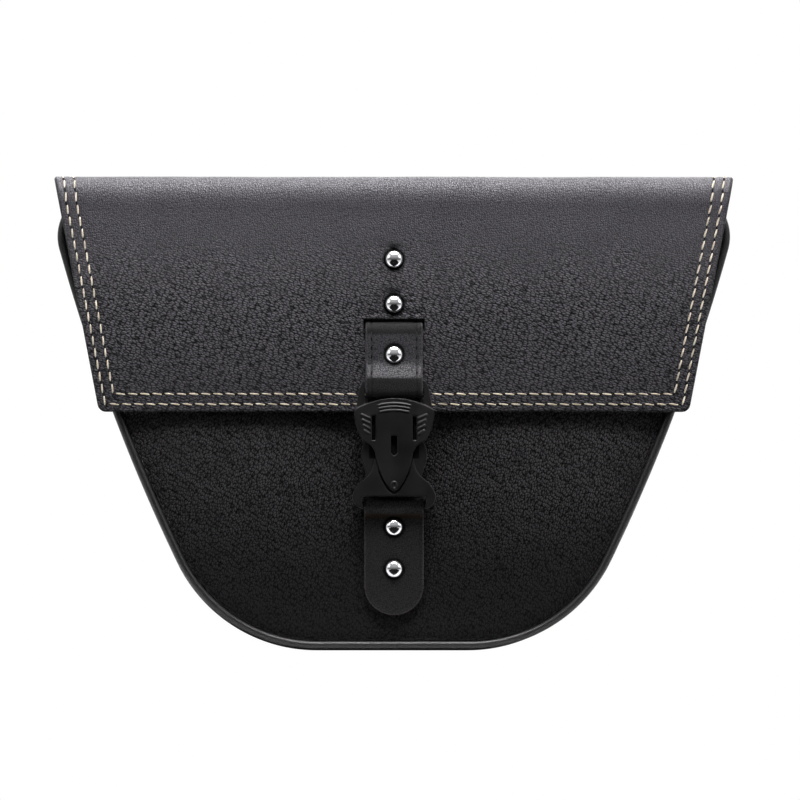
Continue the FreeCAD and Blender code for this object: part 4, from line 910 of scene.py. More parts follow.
hole_low, hole_high = slit_z - slit_half_height - lining_low, slit_z + slit_half_height - lining_low
lining_rows = ladder(both_ends(lining_length, 0, 0.2, 0.5, 1.2) + [
    2.3, lining_corner, hole_low - 2.0, hole_low - 0.4, hole_low, hole_high, hole_high + 0.4, hole_high + 2.0], 6.0)
lining_sides = [(skirt_lining_width(s), s) for s in (0, 0.2, 0.5, 1.2, 2.3, lining_corner, lining_length)]
skirt_lining = Sheet("skirt_lining", skirt_lining_route, skirt_lining_width, lining_rows,
                     runs([(-x, s) for x, s in lining_sides[::-1]] + lining_sides), 1.15, 0.5, 7.0,
                     ripple(-0.25, 4.4), holes=[(-slit_half, slit_half, hole_low, hole_high)], near=lining_near)
dress(skirt_lining.object, drill, "lining", "flap_skirt_lining")
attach(skirt_lining.object, "flap_skirt")

top_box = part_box("flap_top_lining")
top_mid = (top_box[0][2] + top_box[1][2]) / 2 / MM
top_half = top_box[1][0] / MM
top_route = route([(top_box[0][1] / MM, top_mid, 0), (top_box[1][1] / MM, top_mid, 0)])
top_length = top_route[-1][0]
top_lining = Sheet("top_lining", top_route, lambda s: top_half, ladder(both_ends(top_length, 0, 0.2, 0.5, 1.2, 3), 7.0),
                   oblong(top_half, top_length), 0.95, 0.4, 8.0, ripple(-0.2, 9.1), near=lining_near)
dress(top_lining.object, drill, "lining", "flap_top_lining")
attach(top_lining.object, "flap_top")

# ---------------------------------------------------------------- closing strap
# Bridle-leather strap: riveted behind the skirt, out through the slit, down round the buckle's bar and
# back up behind itself under the third rivet. Edges are rounded and burnished, stitched in black.
strap_half, strap_thick, strap_row = 16.8, 2.2, 3.5
socket_bar_y, socket_bar_z, strap_loop = -62.3, 152.0, 3.2
strap_front, strap_back, strap_hidden = -61.4, -59.1, -53.3
strap_route = route([
    (strap_hidden, rivet_high_z + 8.7, 0),
    (strap_hidden, slit_z + 0.9 * strap_thick, 1.1 * strap_thick),
    (strap_front, slit_z - 0.7 * strap_thick, 1.1 * strap_thick),
    (strap_front, 167.5, 14.0),
    (socket_bar_y - strap_loop - 0.2, 158.5, 5.0),
    (socket_bar_y - strap_loop, socket_bar_z - strap_loop, strap_loop),
    (strap_back, socket_bar_z - strap_loop, strap_loop),
    (strap_back, strap_rivet_z + 9.1, 0),
], step=0.35)
strap_length = strap_route[-1][0]


def strap_s(z):
    """Length along the strap where its front run is at a height."""
    return min((abs(sample[2] - z), sample[0]) for sample in strap_route
               if sample[1] < -60.5 and sample[4] < 0.9 and sample[3] < 0)[1]


strap_rivet_s = strap_s(strap_rivet_z)


def strap_relief(x, s, d):
    """Raised rounded rims outside a pressed stitch line, and a pucker over the rivet."""
    rise = -0.34 * bell(d - strap_row, 0.7) + 0.14 * bell(d - 1.9, 0.9)
    far = math.hypot(x, s - strap_rivet_s)
    rise -= 0.35 * bell(far, 7.0) + 0.30 * bell(far - 5.6, 1.0)
    rise += 0.10 * noise.noise(Vector((x * 0.1, s * 0.08, 14.0)))
    return rise


def strap_painted_shade(x, s, d):
    """Shadow round the rivet and in the stitch line."""
    return 0.9 * bell(max(0.0, math.hypot(x, s - strap_rivet_s) - 5.9), 0.6) + 0.4 * bell(d - strap_row, 0.5)


strap_near = (0, 0.2, 0.5, 0.9, 1.4, 2.0, 2.7, 3.3, 3.7, 4.1, 4.8, 6.0)
strap = Sheet("strap_leather", strap_route, lambda s: strap_half,
              ladder(both_ends(strap_length, 0, 0.2, 0.5, 0.9, 1.4), 0.9), oblong(strap_half, strap_length),
              strap_thick, 1.2, 1.1, strap_relief, near=strap_near, shade=strap_painted_shade)
# Painted shade: the strap goes near black where it bends down round the buckle's bar and back behind itself, and dark
# from its hidden end to just below the slit.
strap_skin = leather("strap_leather", (0.010, 0.010, 0.012), (0.036, 0.034, 0.041), 1.0, slant=10, stretch=1.6,
                     depth=0.10, rough=0.34, gloss=0.42, edge_tone=(0.050, 0.047, 0.052), mottle=0.35,
                     zones=((strap_s(158.2), strap_length, 1.2, (0.0015, 0.0013, 0.0012)),
                            (0.0, strap_s(186.5), 2.0, (0.003, 0.003, 0.003))))
dress(strap.object, strap_skin, "strap_leather", "closure_strap")
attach(strap.object, "flap_skirt")
black = twisted_thread("black_thread", (0.006, 0.0055, 0.006), (0.001, 0.001, 0.001), 0.8)
front_from, front_to = strap_s(187.0), strap_s(160.5)
strap_lines = [[(hand * (strap_half - strap_row), s) for s in (front_from, front_to)] for hand in (-1, 1)]
sewn = sew("strap_stitches", strap.place, strap_lines, 5.2, 3.9, 1.25, 0.16)
for piece, skin in zip(sewn, (black, painted_hole_shade)):
    dress(piece, skin, "strap_leather")
    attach(piece, "flap_skirt")

# ---------------------------------------------------------------- lower tab
# The same bridle leather, doubled round the buckle's lower bar and riveted twice to the front panel.
tab_half, tab_thick, tab_loop = 17.5, 2.0, 3.1
plug_bar_y, plug_bar_z = -57.0, 85.0
tab_front, tab_back, tab_end = -53.3, -51.2, 20.0
tab_rivet_high_z, tab_rivet_low_z = 71.7, 47.0
tab_route = route([
    (tab_back, tab_rivet_low_z - 11.0, 0),
    (tab_back, plug_bar_z - 1.5 * tab_loop, 0.65 * tab_loop),
    (plug_bar_y + tab_loop, plug_bar_z - 0.45 * tab_loop, 0.65 * tab_loop),
    (plug_bar_y + tab_loop, plug_bar_z + tab_loop, tab_loop),
    (plug_bar_y - tab_loop, plug_bar_z + tab_loop, tab_loop),
    (plug_bar_y - tab_loop, plug_bar_z - 0.58 * tab_loop, tab_loop),
    (tab_front, plug_bar_z - 2.03 * tab_loop, tab_loop),
    (tab_front, tab_end, 0),
], step=0.35)
tab_length = tab_route[-1][0]


def tab_width(s):
    """Parallel sides, then a round end."""
    rest = tab_length - s
    if rest >= tab_half:
        return tab_half
    f = (tab_half - rest) / tab_half
    return max(0.6, tab_half * math.sqrt(max(0.0, 1 - f ** 2)))


tab_sides = [(tab_width(s), s) for s in [0, tab_length - tab_half] + [
    tab_length - tab_half * (1 - math.sin(k * math.pi / 40)) for k in range(1, 21)]]
tab_outline = runs([(x, s) for x, s in tab_sides[::-1]] + [(-x, s) for x, s in tab_sides], closed=True)
tab_rivets = [tab_length - (z - tab_end) for z in (tab_rivet_high_z, tab_rivet_low_z)]


def tab_relief(x, s, d):
    """A creased line inside the edge, a dip under each rivet and a swelling above it."""
    rise = -0.14 * bell(d - 2.6, 0.9) + 0.06 * bell(d - 1.3, 0.8)
    for rs in tab_rivets:
        rise -= 0.45 * bell(math.hypot(x, s - rs), 7.0)
        rise += 0.18 * bell(math.hypot(x / 1.6, s - rs + 9.0), 3.0)
    rise += 0.12 * noise.noise(Vector((x * 0.09, s * 0.07, 31.0)))
    return rise


def tab_painted_shade(x, s, d):
    """Shadow round each rivet."""
    return sum(0.9 * bell(max(0.0, math.hypot(x, s - rs) - 5.9), 0.6) for rs in tab_rivets)


tab = Sheet("tab_leather", tab_route, tab_width,
            ladder([0, 0.2, 0.5, 0.9, 1.4] + [tab_length - n for n in
                                              (0, 0.15, 0.4, 0.8, 1.3, 2.0, 3.0, 4.2, 6.0, 9.0)], 0.9),
            tab_outline, tab_thick, 1.2, 1.2, tab_relief, near=(0, 0.2, 0.5, 0.9, 1.4, 2.0, 2.7, 3.4, 4.4),
            shade=tab_painted_shade)
tab_skin = leather("tab_leather", (0.003, 0.003, 0.003), (0.014, 0.013, 0.014), 1.0, slant=15, stretch=1.5,
                   depth=0.07, rough=0.33, gloss=0.32, edge_tone=(0.050, 0.045, 0.043), mottle=0.6,
                   zones=((tab_length - 60.5, tab_length - 57.5, 2.0, (0.020, 0.013, 0.007)),))
dress(tab.object, tab_skin, "strap_leather", "closure_tab")
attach(tab.object, "bag")

# ---------------------------------------------------------------- rivets
# Chrome-plated domed rivets, spun edges just biting the leather, posts through to a steel washer.


def plated(name, tone, rough, pits):
    """Bright plate over steel: mirror smooth, with faint buffing and small pits."""
    made, tree = blank(name)
    here = place_of(tree, False)
    haze, spots = noisy(tree, here, 260.0, 4.0)["Fac"], noisy(tree, here, 1800.0, 2.0)["Fac"]
    finished(tree, mid_colour(tree, haze, [0.86 * c for c in tone], tone),
             ramp(tree, haze, 0.0, 1.0, rough, rough + 0.10), spots, 0.25, pits * MM, {"Metallic": 1.0})
    return made


chrome = plated("chrome", (0.90, 0.90, 0.92), 0.07, 0.02)
steel = plated("washer_steel", (0.52, 0.51, 0.50), 0.32, 0.04)


def lathe(name, profile, centre, spin=40, flip=1):
    """A turned piece: profile is (radius, stand-off) from a face whose outside is -Y (or +Y when flip is -1)."""
    points, faces = [], []
    for r, out in profile:
        for k in range(spin):
            a = 2 * math.pi * k / spin
            points.append((centre[0] + r * math.cos(a), centre[1] - flip * out, centre[2] + r * math.sin(a)))
    for j in range(len(profile) - 1):
        for k in range(spin):
            n = (k + 1) % spin
            ring = (j * spin + k, j * spin + n, (j + 1) * spin + n, (j + 1) * spin + k)
            faces.append(ring if flip > 0 else ring[::-1])
    return mesh_object(name, points, faces)


def rivet_profile(radius, height, post, deep):
    """From the crown down over the dome, round the spun edge and in to the post."""
    crown, wide = [(0.02 * radius, height)], math.radians(80)
    for k in range(1, 15):
        a = k / 14 * wide
        crown.append((radius * 0.985 * math.sin(a) / math.sin(wide),
                      0.5 + (height - 0.5) * (math.cos(a) - math.cos(wide)) / (1 - math.cos(wide))))
    return crown + [(radius, 0.32), (radius * 0.995, 0.12), (radius * 0.96, 0.0), (post, -0.02), (post, -deep),
                    (0.02, -deep)]


for name, body, face_y in (("flap_rivet_high", "flap_skirt", -57.7), ("flap_rivet_low", "flap_skirt", -57.7),
                           ("strap_rivet", "flap_skirt", -62.5), ("tab_rivet_high", "bag", -54.3),
                           ("tab_rivet_low", "bag", -54.3)):
    low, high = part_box(name)
    middle = [(a + b) / 2 / MM for a, b in zip(low, high)]
    dome = lathe(name + "_dome", rivet_profile(5.3, 3.4, 1.5, high[1] / MM - face_y), (middle[0], face_y, middle[2]))
    dress(dome, chrome, "chrome_stud", name)
    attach(dome, body)

# ---------------------------------------------------------------- squeeze buckle
# Side-release buckle in black acetal: socket above, plug below with its two sprung arms. Moulded in one
# shot each, so every edge carries a small radius and the surface a fine spark-eroded satin.


def softened(name, source, voxel, rounds, material, slot, body, reshape=None, inner=None, inside=None):
    """The part with its mould radii: a close-knit copy of its solid, relaxed at the edges.

    reshape moves its points; faces that inside picks out take the inner finish, painted shade for the dark of the
    housing.
    """
    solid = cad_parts[source]
    mesh = solid.data.copy()
    mesh.name = name
    made = in_scene(name, mesh)
    made.matrix_world = solid.matrix_world.copy()
    close = made.modifiers.new("knit", "REMESH")
    close.mode, close.voxel_size = "VOXEL", voxel * MM
    relax = made.modifiers.new("relax", "SMOOTH")
    relax.factor, relax.iterations = 0.5, rounds
    bpy.context.view_layer.update()
    done = bpy.data.meshes.new_from_object(made.evaluated_get(bpy.context.evaluated_depsgraph_get()))
    made.modifiers.clear()
    made.data = done
    done.materials.clear()
    dress(made, material, slot, source)
    if reshape:
        for point in done.vertices:
            point.co = Vector(reshape(*(c / MM for c in point.co))) * MM
    if inner:
        done.materials.append(inner)
        for face in done.polygons:
            face.material_index = 1 if inside(*(c / MM for c in face.center)) else 0
    done.polygons.foreach_set("use_smooth", [True] * len(done.polygons))
    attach(made, body)
    return made


def moulded(name, deep, face, grain_mm, depth, rough):
    """Black moulded plastic: satin from the tool's eroded face, slightly greyer where hands rub it."""
    made, tree = blank(name)
    here = place_of(tree, False)
    fine, flow = noisy(tree, here, 1 / (grain_mm * MM), 3.0, 0.6)["Fac"], noisy(tree, here, 90.0, 3.0)["Fac"]
    amount = ramp(tree, maths(tree, "MULTIPLY", fine, flow), 0.12, 0.42)
    shine = ramp(tree, flow, 0.3, 0.7, rough - 0.05, rough + 0.07)
    finished(tree, mid_colour(tree, amount, deep, face), shine, fine, 0.6, depth * MM,
             {"Specular IOR Level": 0.28})
    return made


acetal = moulded("black_acetal", (0.002, 0.002, 0.002), (0.008, 0.007, 0.007), 0.35, 0.03, 0.42)
# Painted shade: faces deep in the housing and its windows take a near-black finish.
hollow = painted_shade_finish("housing_inside_painted_shade", (0.0005, 0.0005, 0.0005))
horn_levels = (82.0, 84.0, 86.0, 88.8, 92.5, 94.4, 97.2, 99.5, 101.9, 105.0, 109.0, 111.5)
horn_solid = (17.6, 18.0, 19.2, 20.6, 22.6, 23.0, 20.9, 19.4, 17.8, 15.7, 13.0, 11.2)
horn_shape = (17.6, 18.5, 20.3, 22.0, 22.8, 22.3, 20.3, 17.4, 14.7, 12.5, 11.2, 11.0)


def on_levels(levels, values, z):
    """The value at a height, or None beyond the levels."""
    for a, b, p, q in zip(levels, levels[1:], values, values[1:]):
        if a <= z <= b:
            return p + (q - p) * (z - a) / (b - a)
    return None


def horned(x, y, z):
    """The plug's shoulders sweep out in a hollow curve to round horns."""
    solid, shape = on_levels(horn_levels, horn_solid, z), on_levels(horn_levels, horn_shape, z)
    if solid is None:
        return x, y, z
    f = max(0.0, min(1.0, (abs(x) - 0.5 * solid) / (0.45 * solid)))
    return math.copysign(abs(x) + (shape - solid) * f * f * (3 - 2 * f), x), y, z


for source, body, reshape, inside in (
        ("buckle_socket", "buckle_socket_body", None, lambda x, y, z: y > -63.6 and z < 147.0 and abs(x) < 15.5),
        ("buckle_plug", "buckle_plug_body", horned, lambda x, y, z: z > 113.0),
        ("squeeze_arm_left", "arm_left", None, lambda x, y, z: abs(x) < 14.6 and z > 112.0),
        ("squeeze_arm_right", "arm_right", None, lambda x, y, z: abs(x) < 14.6 and z > 112.0)):
    softened(source + "_moulding", source, 0.28, 4, acetal, "buckle_plastic", body, reshape, hollow, inside)

# ---------------------------------------------------------------- front panel
# Stiffened front of the body in heavy pebbled hide, pulled into the piped seam all round so that its
# face rolls back near the edge; slightly crowned on either side of the tab.
base_half, corner_r, side_r, mouth_r = 45.0, 92.0, 1100.0, 28.0
corner_c, mouth_c = Vector((45.0, 92.0)), Vector((170.0, 243.0))


def side_centre():
    """Centre of the bowed side's arc, which touches the corner's arc and the mouth's arc."""
    run = corner_c - mouth_c
    r1, r2, d = side_r - mouth_r, side_r - corner_r, (corner_c - mouth_c).length
    a = (r1 * r1 - r2 * r2 + d * d) / (2 * d)
    way = run / d
    return mouth_c + way * a + Vector((way.y, -way.x)) * math.sqrt(r1 * r1 - a * a)


side_c = side_centre()
mouth_turn = math.atan2(mouth_c.y - side_c.y, mouth_c.x - side_c.x)
corner_turn_angle = math.atan2(corner_c.y - side_c.y, corner_c.x - side_c.x)


def stations(step):
    """The bag's outline from the left mouth corner down, along the base and up: (centre, out, radius, length)."""
    half_line = []

    def arc(centre, radius, a1, a2):
        count = max(2, math.ceil(abs(a2 - a1) * radius / step))
        for k in range(count):
            a = a1 + (a2 - a1) * k / count
            half_line.append((Vector(centre), Vector((math.cos(a), math.sin(a))), radius))

    arc(mouth_c, mouth_r, math.pi / 2, mouth_turn)
    arc(side_c, side_r, mouth_turn, corner_turn_angle)
    arc(corner_c, corner_r, corner_turn_angle, -math.pi / 2)
    count = math.ceil(base_half / step)
    for k in range(count):
        half_line.append((Vector((base_half * (1 - k / count), 0)), Vector((0, -1)), 0.0))
    left = [(Vector((-c.x, c.y)), Vector((-n.x, n.y)), r) for c, n, r in half_line]
    middle = [(Vector((0, 0)), Vector((0, -1)), 0.0)]
    line = left + middle + half_line[::-1]
    whole, gone, last = [], 0.0, None
    for c, n, r in line:
        p = c + n * r
        if last is not None:
            gone += (p - last).length
        last = p
        whole.append((c, n, r, gone))
    return whole


def outline_half(z, inset):
    """Half width of the outline at a height, set in by inset mm."""
    r = mouth_r - inset
    if z >= mouth_c.y + r * math.sin(mouth_turn):
        return mouth_c.x + math.sqrt(max(0.0, r * r - (z - mouth_c.y) ** 2))
    r = side_r - inset
    if z >= side_c.y + r * math.sin(corner_turn_angle):
        return side_c.x + math.sqrt(max(0.0, r * r - (z - side_c.y) ** 2))
    r = corner_r - inset
    return corner_c.x + math.sqrt(max(0.0, r * r - (z - corner_c.y) ** 2))


def panel_sides(low, high, inset, count=60):
    """Half outline as (half width, z), finer where it turns under the base."""
    levels = [low + (high - low) * (k / count) ** 2 for k in range(count + 1)]
    return [(outline_half(z, inset), z) for z in levels]


panel_inset, panel_low, panel_high, panel_y = 4.9, 4.9, 264.0, -49.0
panel_route = route([(panel_y, panel_high, 0), (panel_y, panel_low, 0)])
panel_length = panel_high - panel_low
panel_edges = [(w, panel_high - z) for w, z in panel_sides(panel_low, panel_high, panel_inset)]


def both_sides(edges):
    """A whole outline from its right half: the half, its mirror image, and the two ends that join them."""
    ends = [((-edges[k][0], edges[k][1]), (edges[k][0], edges[k][1])) for k in (0, -1)]
    return runs(edges) + runs([(-w, s) for w, s in edges]) + ends


def panel_relief(x, s, d):
    """Rolled edge, crown away from the tab, slow waves and a few soft creases in from the corners."""
    if s < 2.0:
        return 0.0
    rise = -1.05 * bell(d, 3.4)
    free = min(1.0, max(0.0, (abs(x) - 24.0) / 40.0)) * min(1.0, d / 38.0)
    rise += (1.5 + 3.5 * bell(s - 190.0, 48.0)) * free
    rise += 0.45 * noise.noise(Vector((x * 0.016, s * 0.018, 51.0))) * min(1.0, d / 10.0) * (0.25 + 0.75 * free)
    ridge = math.sin((x * 0.9 + s * 0.35) * 0.16 + 2.0 * noise.noise(Vector((x * 0.01, s * 0.01, 2.0))))
    rise += 0.10 * ridge * bell(d - 12.0, 9.0)
    return rise


panel_rows = ladder([0, 0.3, 0.8, 1.6, 3.0] + [panel_length - n for n in
                                              (0, 0.25, 0.6, 1.1, 1.8, 2.8, 4.2, 6.0, 8.5, 12.0, 17.0, 24.0)], 3.0)
panel = Sheet("front_panel_leather", panel_route, lambda s: outline_half(panel_high - s, panel_inset), panel_rows,
              both_sides(panel_edges), 2.0, 0.9, 3.2, panel_relief, near=(0, 0.3, 0.7, 1.3, 2.1, 3.2, 4.8, 7.0, 10.0))
# Painted shade: the zone darkens the panel's lower half towards the base.
panel_skin = leather("body_leather", (0.0003, 0.0003, 0.0003), (0.036, 0.033, 0.036), 1.20, slant=-33, stretch=2.8,
                     depth=0.60, rough=0.40, gloss=0.30, mottle=0.5, crease=0.28, sink=0.8,
                     zones=((245.0, panel_length + 9.0, 110.0, (0.004, 0.0037, 0.004)),))
dress(panel.object, panel_skin, "grained_leather", "front_panel")
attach(panel.object, "bag")

# ---------------------------------------------------------------- piping
# Glossy black welt: thin leather rolled round a cord and caught in the front seam, ends tucked at the mouth.
pipe_r, pipe_y, pipe_inset = 2.4, -49.3, 2.4


def swept(name, line, ring_of):
    """A loop of points carried along the outline; ring_of(station, k) gives the loop's (inset, y) points."""
    points, faces, flat = [], [], []
    for k, station in enumerate(line):
        c, n, r, gone = station
        ring = ring_of(station, k)
        count = len(ring)
        girth = 0.0
        for i, (inset, y) in enumerate(ring):
            if i:
                girth += math.hypot(inset - ring[i - 1][0], y - ring[i - 1][1])
            p = c + n * (r - inset)
            points.append((p.x, y, p.y))
            flat.append((gone * MM, girth * MM))
    for k in range(len(line) - 1):
        for i in range(count):
            j = (i + 1) % count
            faces.append((k * count + i, k * count + j, (k + 1) * count + j, (k + 1) * count + i))
    last = (len(line) - 1) * count
    faces += [tuple(range(count))[::-1], tuple(last + i for i in range(count))]
    return mesh_object(name, points, faces, flat)


pipe_line = stations(2.0)


def pipe_ring(station, k):
    """A round section, drawn in at the two ends and a little uneven along its cord."""
    ends = min(k, len(pipe_line) - 1 - k)
    girth = pipe_r * min(1.0, math.sqrt((ends + 0.25) / 2.0))
    girth *= 1.0 + 0.03 * noise.noise(Vector((station[3] * 0.05, 0.0, 77.0)))
    return [(pipe_inset - girth * math.cos(a), pipe_y + girth * math.sin(a))
            for a in [2 * math.pi * i / 16 for i in range(16)]]


piping = swept("piping_welt", pipe_line, pipe_ring)
gloss_skin = leather("piping_leather", (0.002, 0.002, 0.002), (0.008, 0.008, 0.009), 0.7, stretch=1.4, depth=0.03,
                     rough=0.20, gloss=0.6, mottle=0.2)
dress(piping, gloss_skin, "piping", "front_piping")
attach(piping, "bag")

# ---------------------------------------------------------------- gusset
# One long strip of hide round the sides and base, sewn to the front under the piping and turned out to
# a lip at the rear seam. It swells between its seams and puckers a little where it turns the corners.
gusset_line = stations(3.0)
gusset_total = gusset_line[-1][3]
gusset_profile = [(-46.7, 5.2), (-46.6, 4.2), (-45.6, 3.7), (-43.5, 3.3), (-39.0, 2.8), (-32.0, 2.3), (-24.0, 1.9),
                  (-14.0, 1.6), (-4.0, 1.5), (6.0, 1.5), (16.0, 1.7), (25.0, 2.0), (33.0, 2.5), (39.0, 3.0),
                  (43.5, 3.5), (45.4, 3.5), (46.1, 3.0), (46.5, 2.2), (46.65, 1.2), (46.75, 0.5), (47.0, 0.12),
                  (47.4, 0.0), (47.8, 0.12), (47.95, 0.6), (48.0, 1.6), (48.0, 3.6), (47.9, 5.4), (40.0, 5.4),
                  (20.0, 5.4), (0.0, 5.4), (-20.0, 5.4), (-40.0, 5.4)]


def gusset_ring(station, k):
    """The strip's section, slack between its two seams and puckered beside them."""
    c, n, r, gone = station
    ring = []
    turning = bell(abs(c.x) - corner_c.x, 6.0) if r == corner_r else 0.0
    for index, (y, inset) in enumerate(gusset_profile):
        extra = 0.0
        if 2 <= index <= 14:
            seam = max(bell(y + 43.0, 9.0), bell(y - 42.0, 8.0))
            pucker = math.sin(gone * 0.62 + 1.3 * math.sin(gone * 0.11))
            extra -= 0.28 * seam * pucker * (0.35 + 0.9 * turning)
            extra -= 0.45 * noise.noise(Vector((gone * 0.012, y * 0.03, 5.0))) * (1 - seam)
            extra = max(extra, -1.3)
        ring.append((inset + extra, y))
    return ring


gusset = swept("gusset_leather", gusset_line, gusset_ring)
gusset_skin = leather("gusset_leather", (0.0008, 0.0008, 0.0008), (0.034, 0.031, 0.034), 1.35, slant=25, stretch=1.6,
                      depth=0.50, rough=0.42, gloss=0.3, mottle=0.4, crease=0.28, sink=0.7)
dress(gusset, gusset_skin, "grained_leather", "gusset_band")
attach(gusset, "bag")


def on_outline(line, inset, y):
    """A surface whose x is length along the outline and whose s is a small shift in inset."""
    total = line[-1][3]

    def place(along_it, shift):
        want = max(0.0, min(total, along_it))
        low, high = 0, len(line) - 1
        while high - low > 1:
            middle = (low + high) // 2
            if line[middle][3] <= want:
                low = middle
            else:
                high = middle
        a, b = line[low], line[high]
        f = (want - a[3]) / max(1e-9, b[3] - a[3])
        p1, p2 = a[0] + a[1] * (a[2] - inset - shift), b[0] + b[1] * (b[2] - inset - shift)
        p = p1.lerp(p2, f)
        return (p.x, y, p.y)
    return place


seam_line = [[(6.0, 0.0), (gusset_total - 6.0, 0.0)]]
sewn = sew("rear_seam_stitches", on_outline(gusset_line, 1.7, 46.62), seam_line, 7.0, 5.2, 0.9, 0.30, slant=0.0,
           holes=False)
dress(sewn[0], cream, "grained_leather")
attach(sewn[0], "bag")

# ---------------------------------------------------------------- back panel
# Heavier smooth-finished hide against the machine, cut to the outline, edge sewn to the gusset's lip.
back_high = 271.0
back_route = route([(49.0, 0.0, 0), (49.0, back_high, 0)])
seam_inset = 3.2


def back_relief(x, s, d):
    """A stitch line, a rounded edge and slow waves."""
    rise = -0.25 * bell(d - seam_inset, 0.8) - 0.35 * bell(d, 1.2)
    return rise + 0.25 * noise.noise(Vector((x * 0.015, s * 0.02, 61.0)))


back_rows = ladder([0, 0.25, 0.6, 1.1, 1.8, 2.5, 3.2, 4.0, 5.5, 8.0, 12.0, 18.0, 250.0, 258.0, 264.0, 268.0, 269.9,
                    270.6, 271.0], 4.0)
back = Sheet("back_panel_leather", back_route, lambda s: outline_half(s, 0.0), back_rows,
             both_sides(panel_sides(0.0, back_high, 0.0)), 2.0, 0.9, 5.0, back_relief,
             near=(0, 0.25, 0.6, 1.1, 1.8, 2.5, seam_inset, 4.0, 5.5, 8.0))
back_skin = leather("back_leather", (0.003, 0.003, 0.003), (0.022, 0.020, 0.021), 1.2, slant=5, stretch=1.2,
                    depth=0.08, rough=0.55, gloss=0.3, edge_tone=(0.010, 0.008, 0.007), mottle=0.4)
dress(back.object, back_skin, "back_leather", "back_panel")
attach(back.object, "bag")
seam_levels = (262, 240, 200, 160, 120, 90, 70, 55, 42, 31, 22, 15, 10, 6.5, 4.3)
seam_side = [(outline_half(z, seam_inset), z) for z in seam_levels]
back_seam = [[(-x, s) for x, s in seam_side] + [(-base_half, seam_inset), (base_half, seam_inset)] + seam_side[::-1]]
sewn = sew("back_seam_stitches", back.place, back_seam, 7.0, 5.4, 1.0, 0.32, slant=5.0)
for piece, skin in zip(sewn, (cream, painted_hole_shade)):
    dress(piece, skin, "back_leather")
    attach(piece, "bag")

# ---------------------------------------------------------------- hanging straps and bridges
# Two bridle-leather straps, each in a flat loop through two riveted bridges, its ends lapped and closed
# by a press stud, so the bag hangs from a frame rail.
hang_half, hang_thick, stud_in = 12.5, 2.2, 15.0
hang_skin = leather("hanging_leather", (0.004, 0.004, 0.004), (0.026, 0.023, 0.025), 0.9, slant=8, stretch=1.5,
                    depth=0.07, rough=0.40, gloss=0.45, edge_tone=(0.022, 0.017, 0.013), mottle=0.4)
for side_name, hand in (("left", -1), ("right", 1)):
    strap_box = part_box(f"hanging_strap_{side_name}")
    stud_low, stud_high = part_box(f"stud_cap_{side_name}")
    middle_x, lap = (stud_low[0] + stud_high[0]) / 2 / MM, (stud_low[2] + stud_high[2]) / 2 / MM
    inner_y, over_y = strap_box[0][1] / MM + hang_thick / 2, strap_box[1][1] / MM - hang_thick / 2
    under_y = over_y - hang_thick - 0.1
    top_z, low_z = strap_box[1][2] / MM - hang_thick / 2, strap_box[0][2] / MM + hang_thick / 2
    high_r, low_r = (under_y - inner_y) / 2, (over_y - inner_y) / 2
    hang_route = route([(under_y, lap - stud_in, 0), (under_y, top_z, high_r), (inner_y, top_z, high_r),
                        (inner_y, low_z, low_r), (over_y, low_z, low_r), (over_y, lap + stud_in, 0)], step=0.4)
    hang_length = hang_route[-1][0]
    stud_s = hang_length - stud_in

    def hang_relief(x, s, d):
        return -0.20 * bell(d - 2.6, 0.6) + 0.08 * bell(d - 1.3, 0.7) - 0.25 * bell(math.hypot(x, s - stud_s), 8.0)

    hang = Sheet(f"hanging_strap_{side_name}_leather", hang_route, lambda s: hang_half,
                 ladder(both_ends(hang_length, 0, 0.2, 0.5, 0.9, 1.4), 1.6), oblong(hang_half, hang_length),
                 hang_thick, 1.1, 2.5, hang_relief,
                 near=(0, 0.2, 0.5, 0.9, 1.4, 2.0, 2.6, 3.2, 4.2), centre=middle_x)
    dress(hang.object, hang_skin, "strap_leather", f"hanging_strap_{side_name}")
    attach(hang.object, "bag")
    cap = lathe(f"stud_cap_{side_name}_dome", rivet_profile(6.0, 2.6, 1.5, 6.2),
                (middle_x, over_y + hang_thick / 2, lap), flip=-1)
    dress(cap, chrome, "chrome_stud", f"stud_cap_{side_name}")
    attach(cap, "bag")
    for level_name in ("high", "low"):
        softened(f"bridge_{side_name}_{level_name}_leather", f"strap_bridge_{side_name}_{level_name}", 0.5, 3,
                 hang_skin, "strap_leather", "bag")

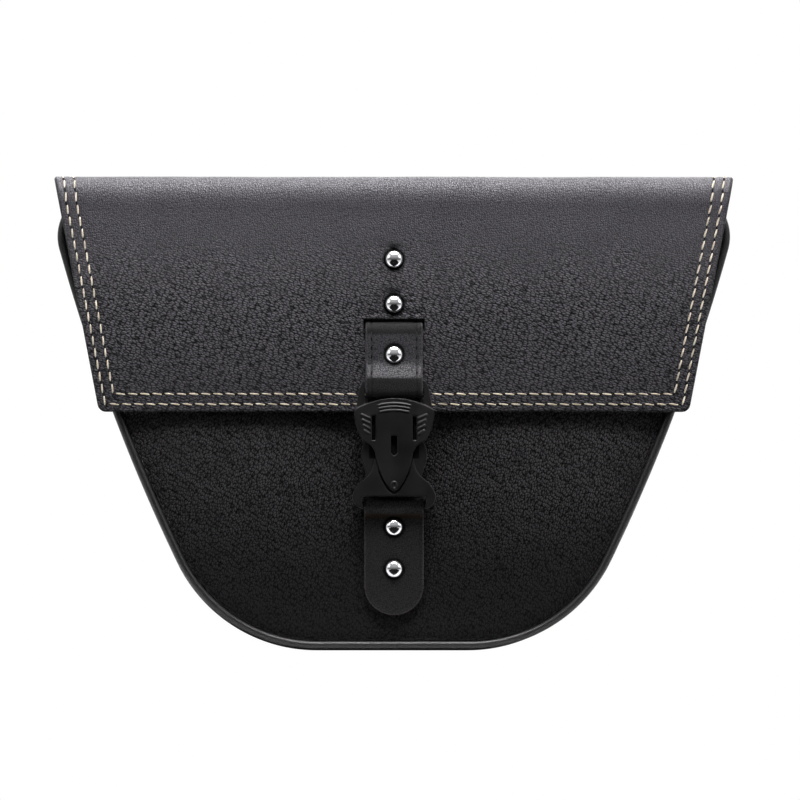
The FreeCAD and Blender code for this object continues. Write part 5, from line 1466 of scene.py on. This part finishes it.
# ---------------------------------------------------------------- body lining and rim binding
# Black drill glued inside front, back and gusset, a little uneven over its paste; leather tape folded
# over the front rim between the mouth's two corners.
lining_inset = 5.6
for side_name in ("front", "back"):
    low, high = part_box(f"{side_name}_lining")
    middle_y, low_z, high_z = (low[1] + high[1]) / 2 / MM, low[2] / MM, high[2] / MM
    facing = [(middle_y, low_z, 0), (middle_y, high_z, 0)]
    cloth_route = route(facing if side_name == "back" else facing[::-1])
    cloth_length = high_z - low_z
    up = 1 if side_name == "back" else -1
    base = low_z if side_name == "back" else high_z
    cloth_edges = [(w, (z - base) * up) for w, z in panel_sides(low_z, high_z, lining_inset)]
    cloth = Sheet(f"{side_name}_lining_cloth", cloth_route,
                  lambda s, base=base, up=up: outline_half(min(high_z, max(low_z, base + up * s)), lining_inset),
                  ladder(both_ends(cloth_length, 0, 0.3, 1.0, 3.0), 6.0), both_sides(cloth_edges), 0.75, 0.4, 8.0,
                  ripple(0.12, 12.0 + up), near=(0, 0.2, 0.6, 1.5, 4.0))
    dress(cloth.object, drill, "lining", f"{side_name}_lining")
    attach(cloth.object, "bag")

low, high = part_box("gusset_lining")
band_inset, band_from, band_to = 198.0 - high[0] / MM, low[1] / MM, high[1] / MM


def band_ring(station, k):
    """The gusset's lining: flat cloth that ripples softly between its seams."""
    places = [band_from + (band_to - band_from) * i / 12 for i in range(13)]
    sag = [0.35 * max(0.0, noise.noise(Vector((station[3] * 0.03, y * 0.05, 8.8))))
           * (1 - ((y - band_from) * 2 / (band_to - band_from) - 1) ** 2) for y in places]
    return ([(band_inset + 0.05, y) for y in places]
            + [(band_inset + 0.75 + g, y) for g, y in zip(reversed(sag), reversed(places))])


band = swept("gusset_lining_cloth", stations(4.0), band_ring)
dress(band, drill, "lining", "gusset_lining")
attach(band, "bag")
binding_skin = leather("binding_leather", (0.003, 0.003, 0.003), (0.018, 0.017, 0.018), 0.8, depth=0.05, rough=0.42,
                       gloss=0.4, flat=False)
softened("rim_binding_leather", "rim_binding", 0.4, 2, binding_skin, "binding", "bag")

# ---------------------------------------------------------------- cad nodes that stay
# Boards, washers and posts keep their solids and get their finishes.
fibre = drill_cloth("fibre_board", (0.030, 0.022, 0.016), (0.075, 0.058, 0.042), 1.4, 0.05, flat=False)
for name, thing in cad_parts.items():
    finish = (fibre if name.endswith("_board") else chrome if name == "bridge_rivets"
              else steel if "washer" in name or "ring" in name else None)
    if thing.type == "MESH" and finish is not None:
        thing.data.materials.clear()
        thing.data.materials.append(finish)
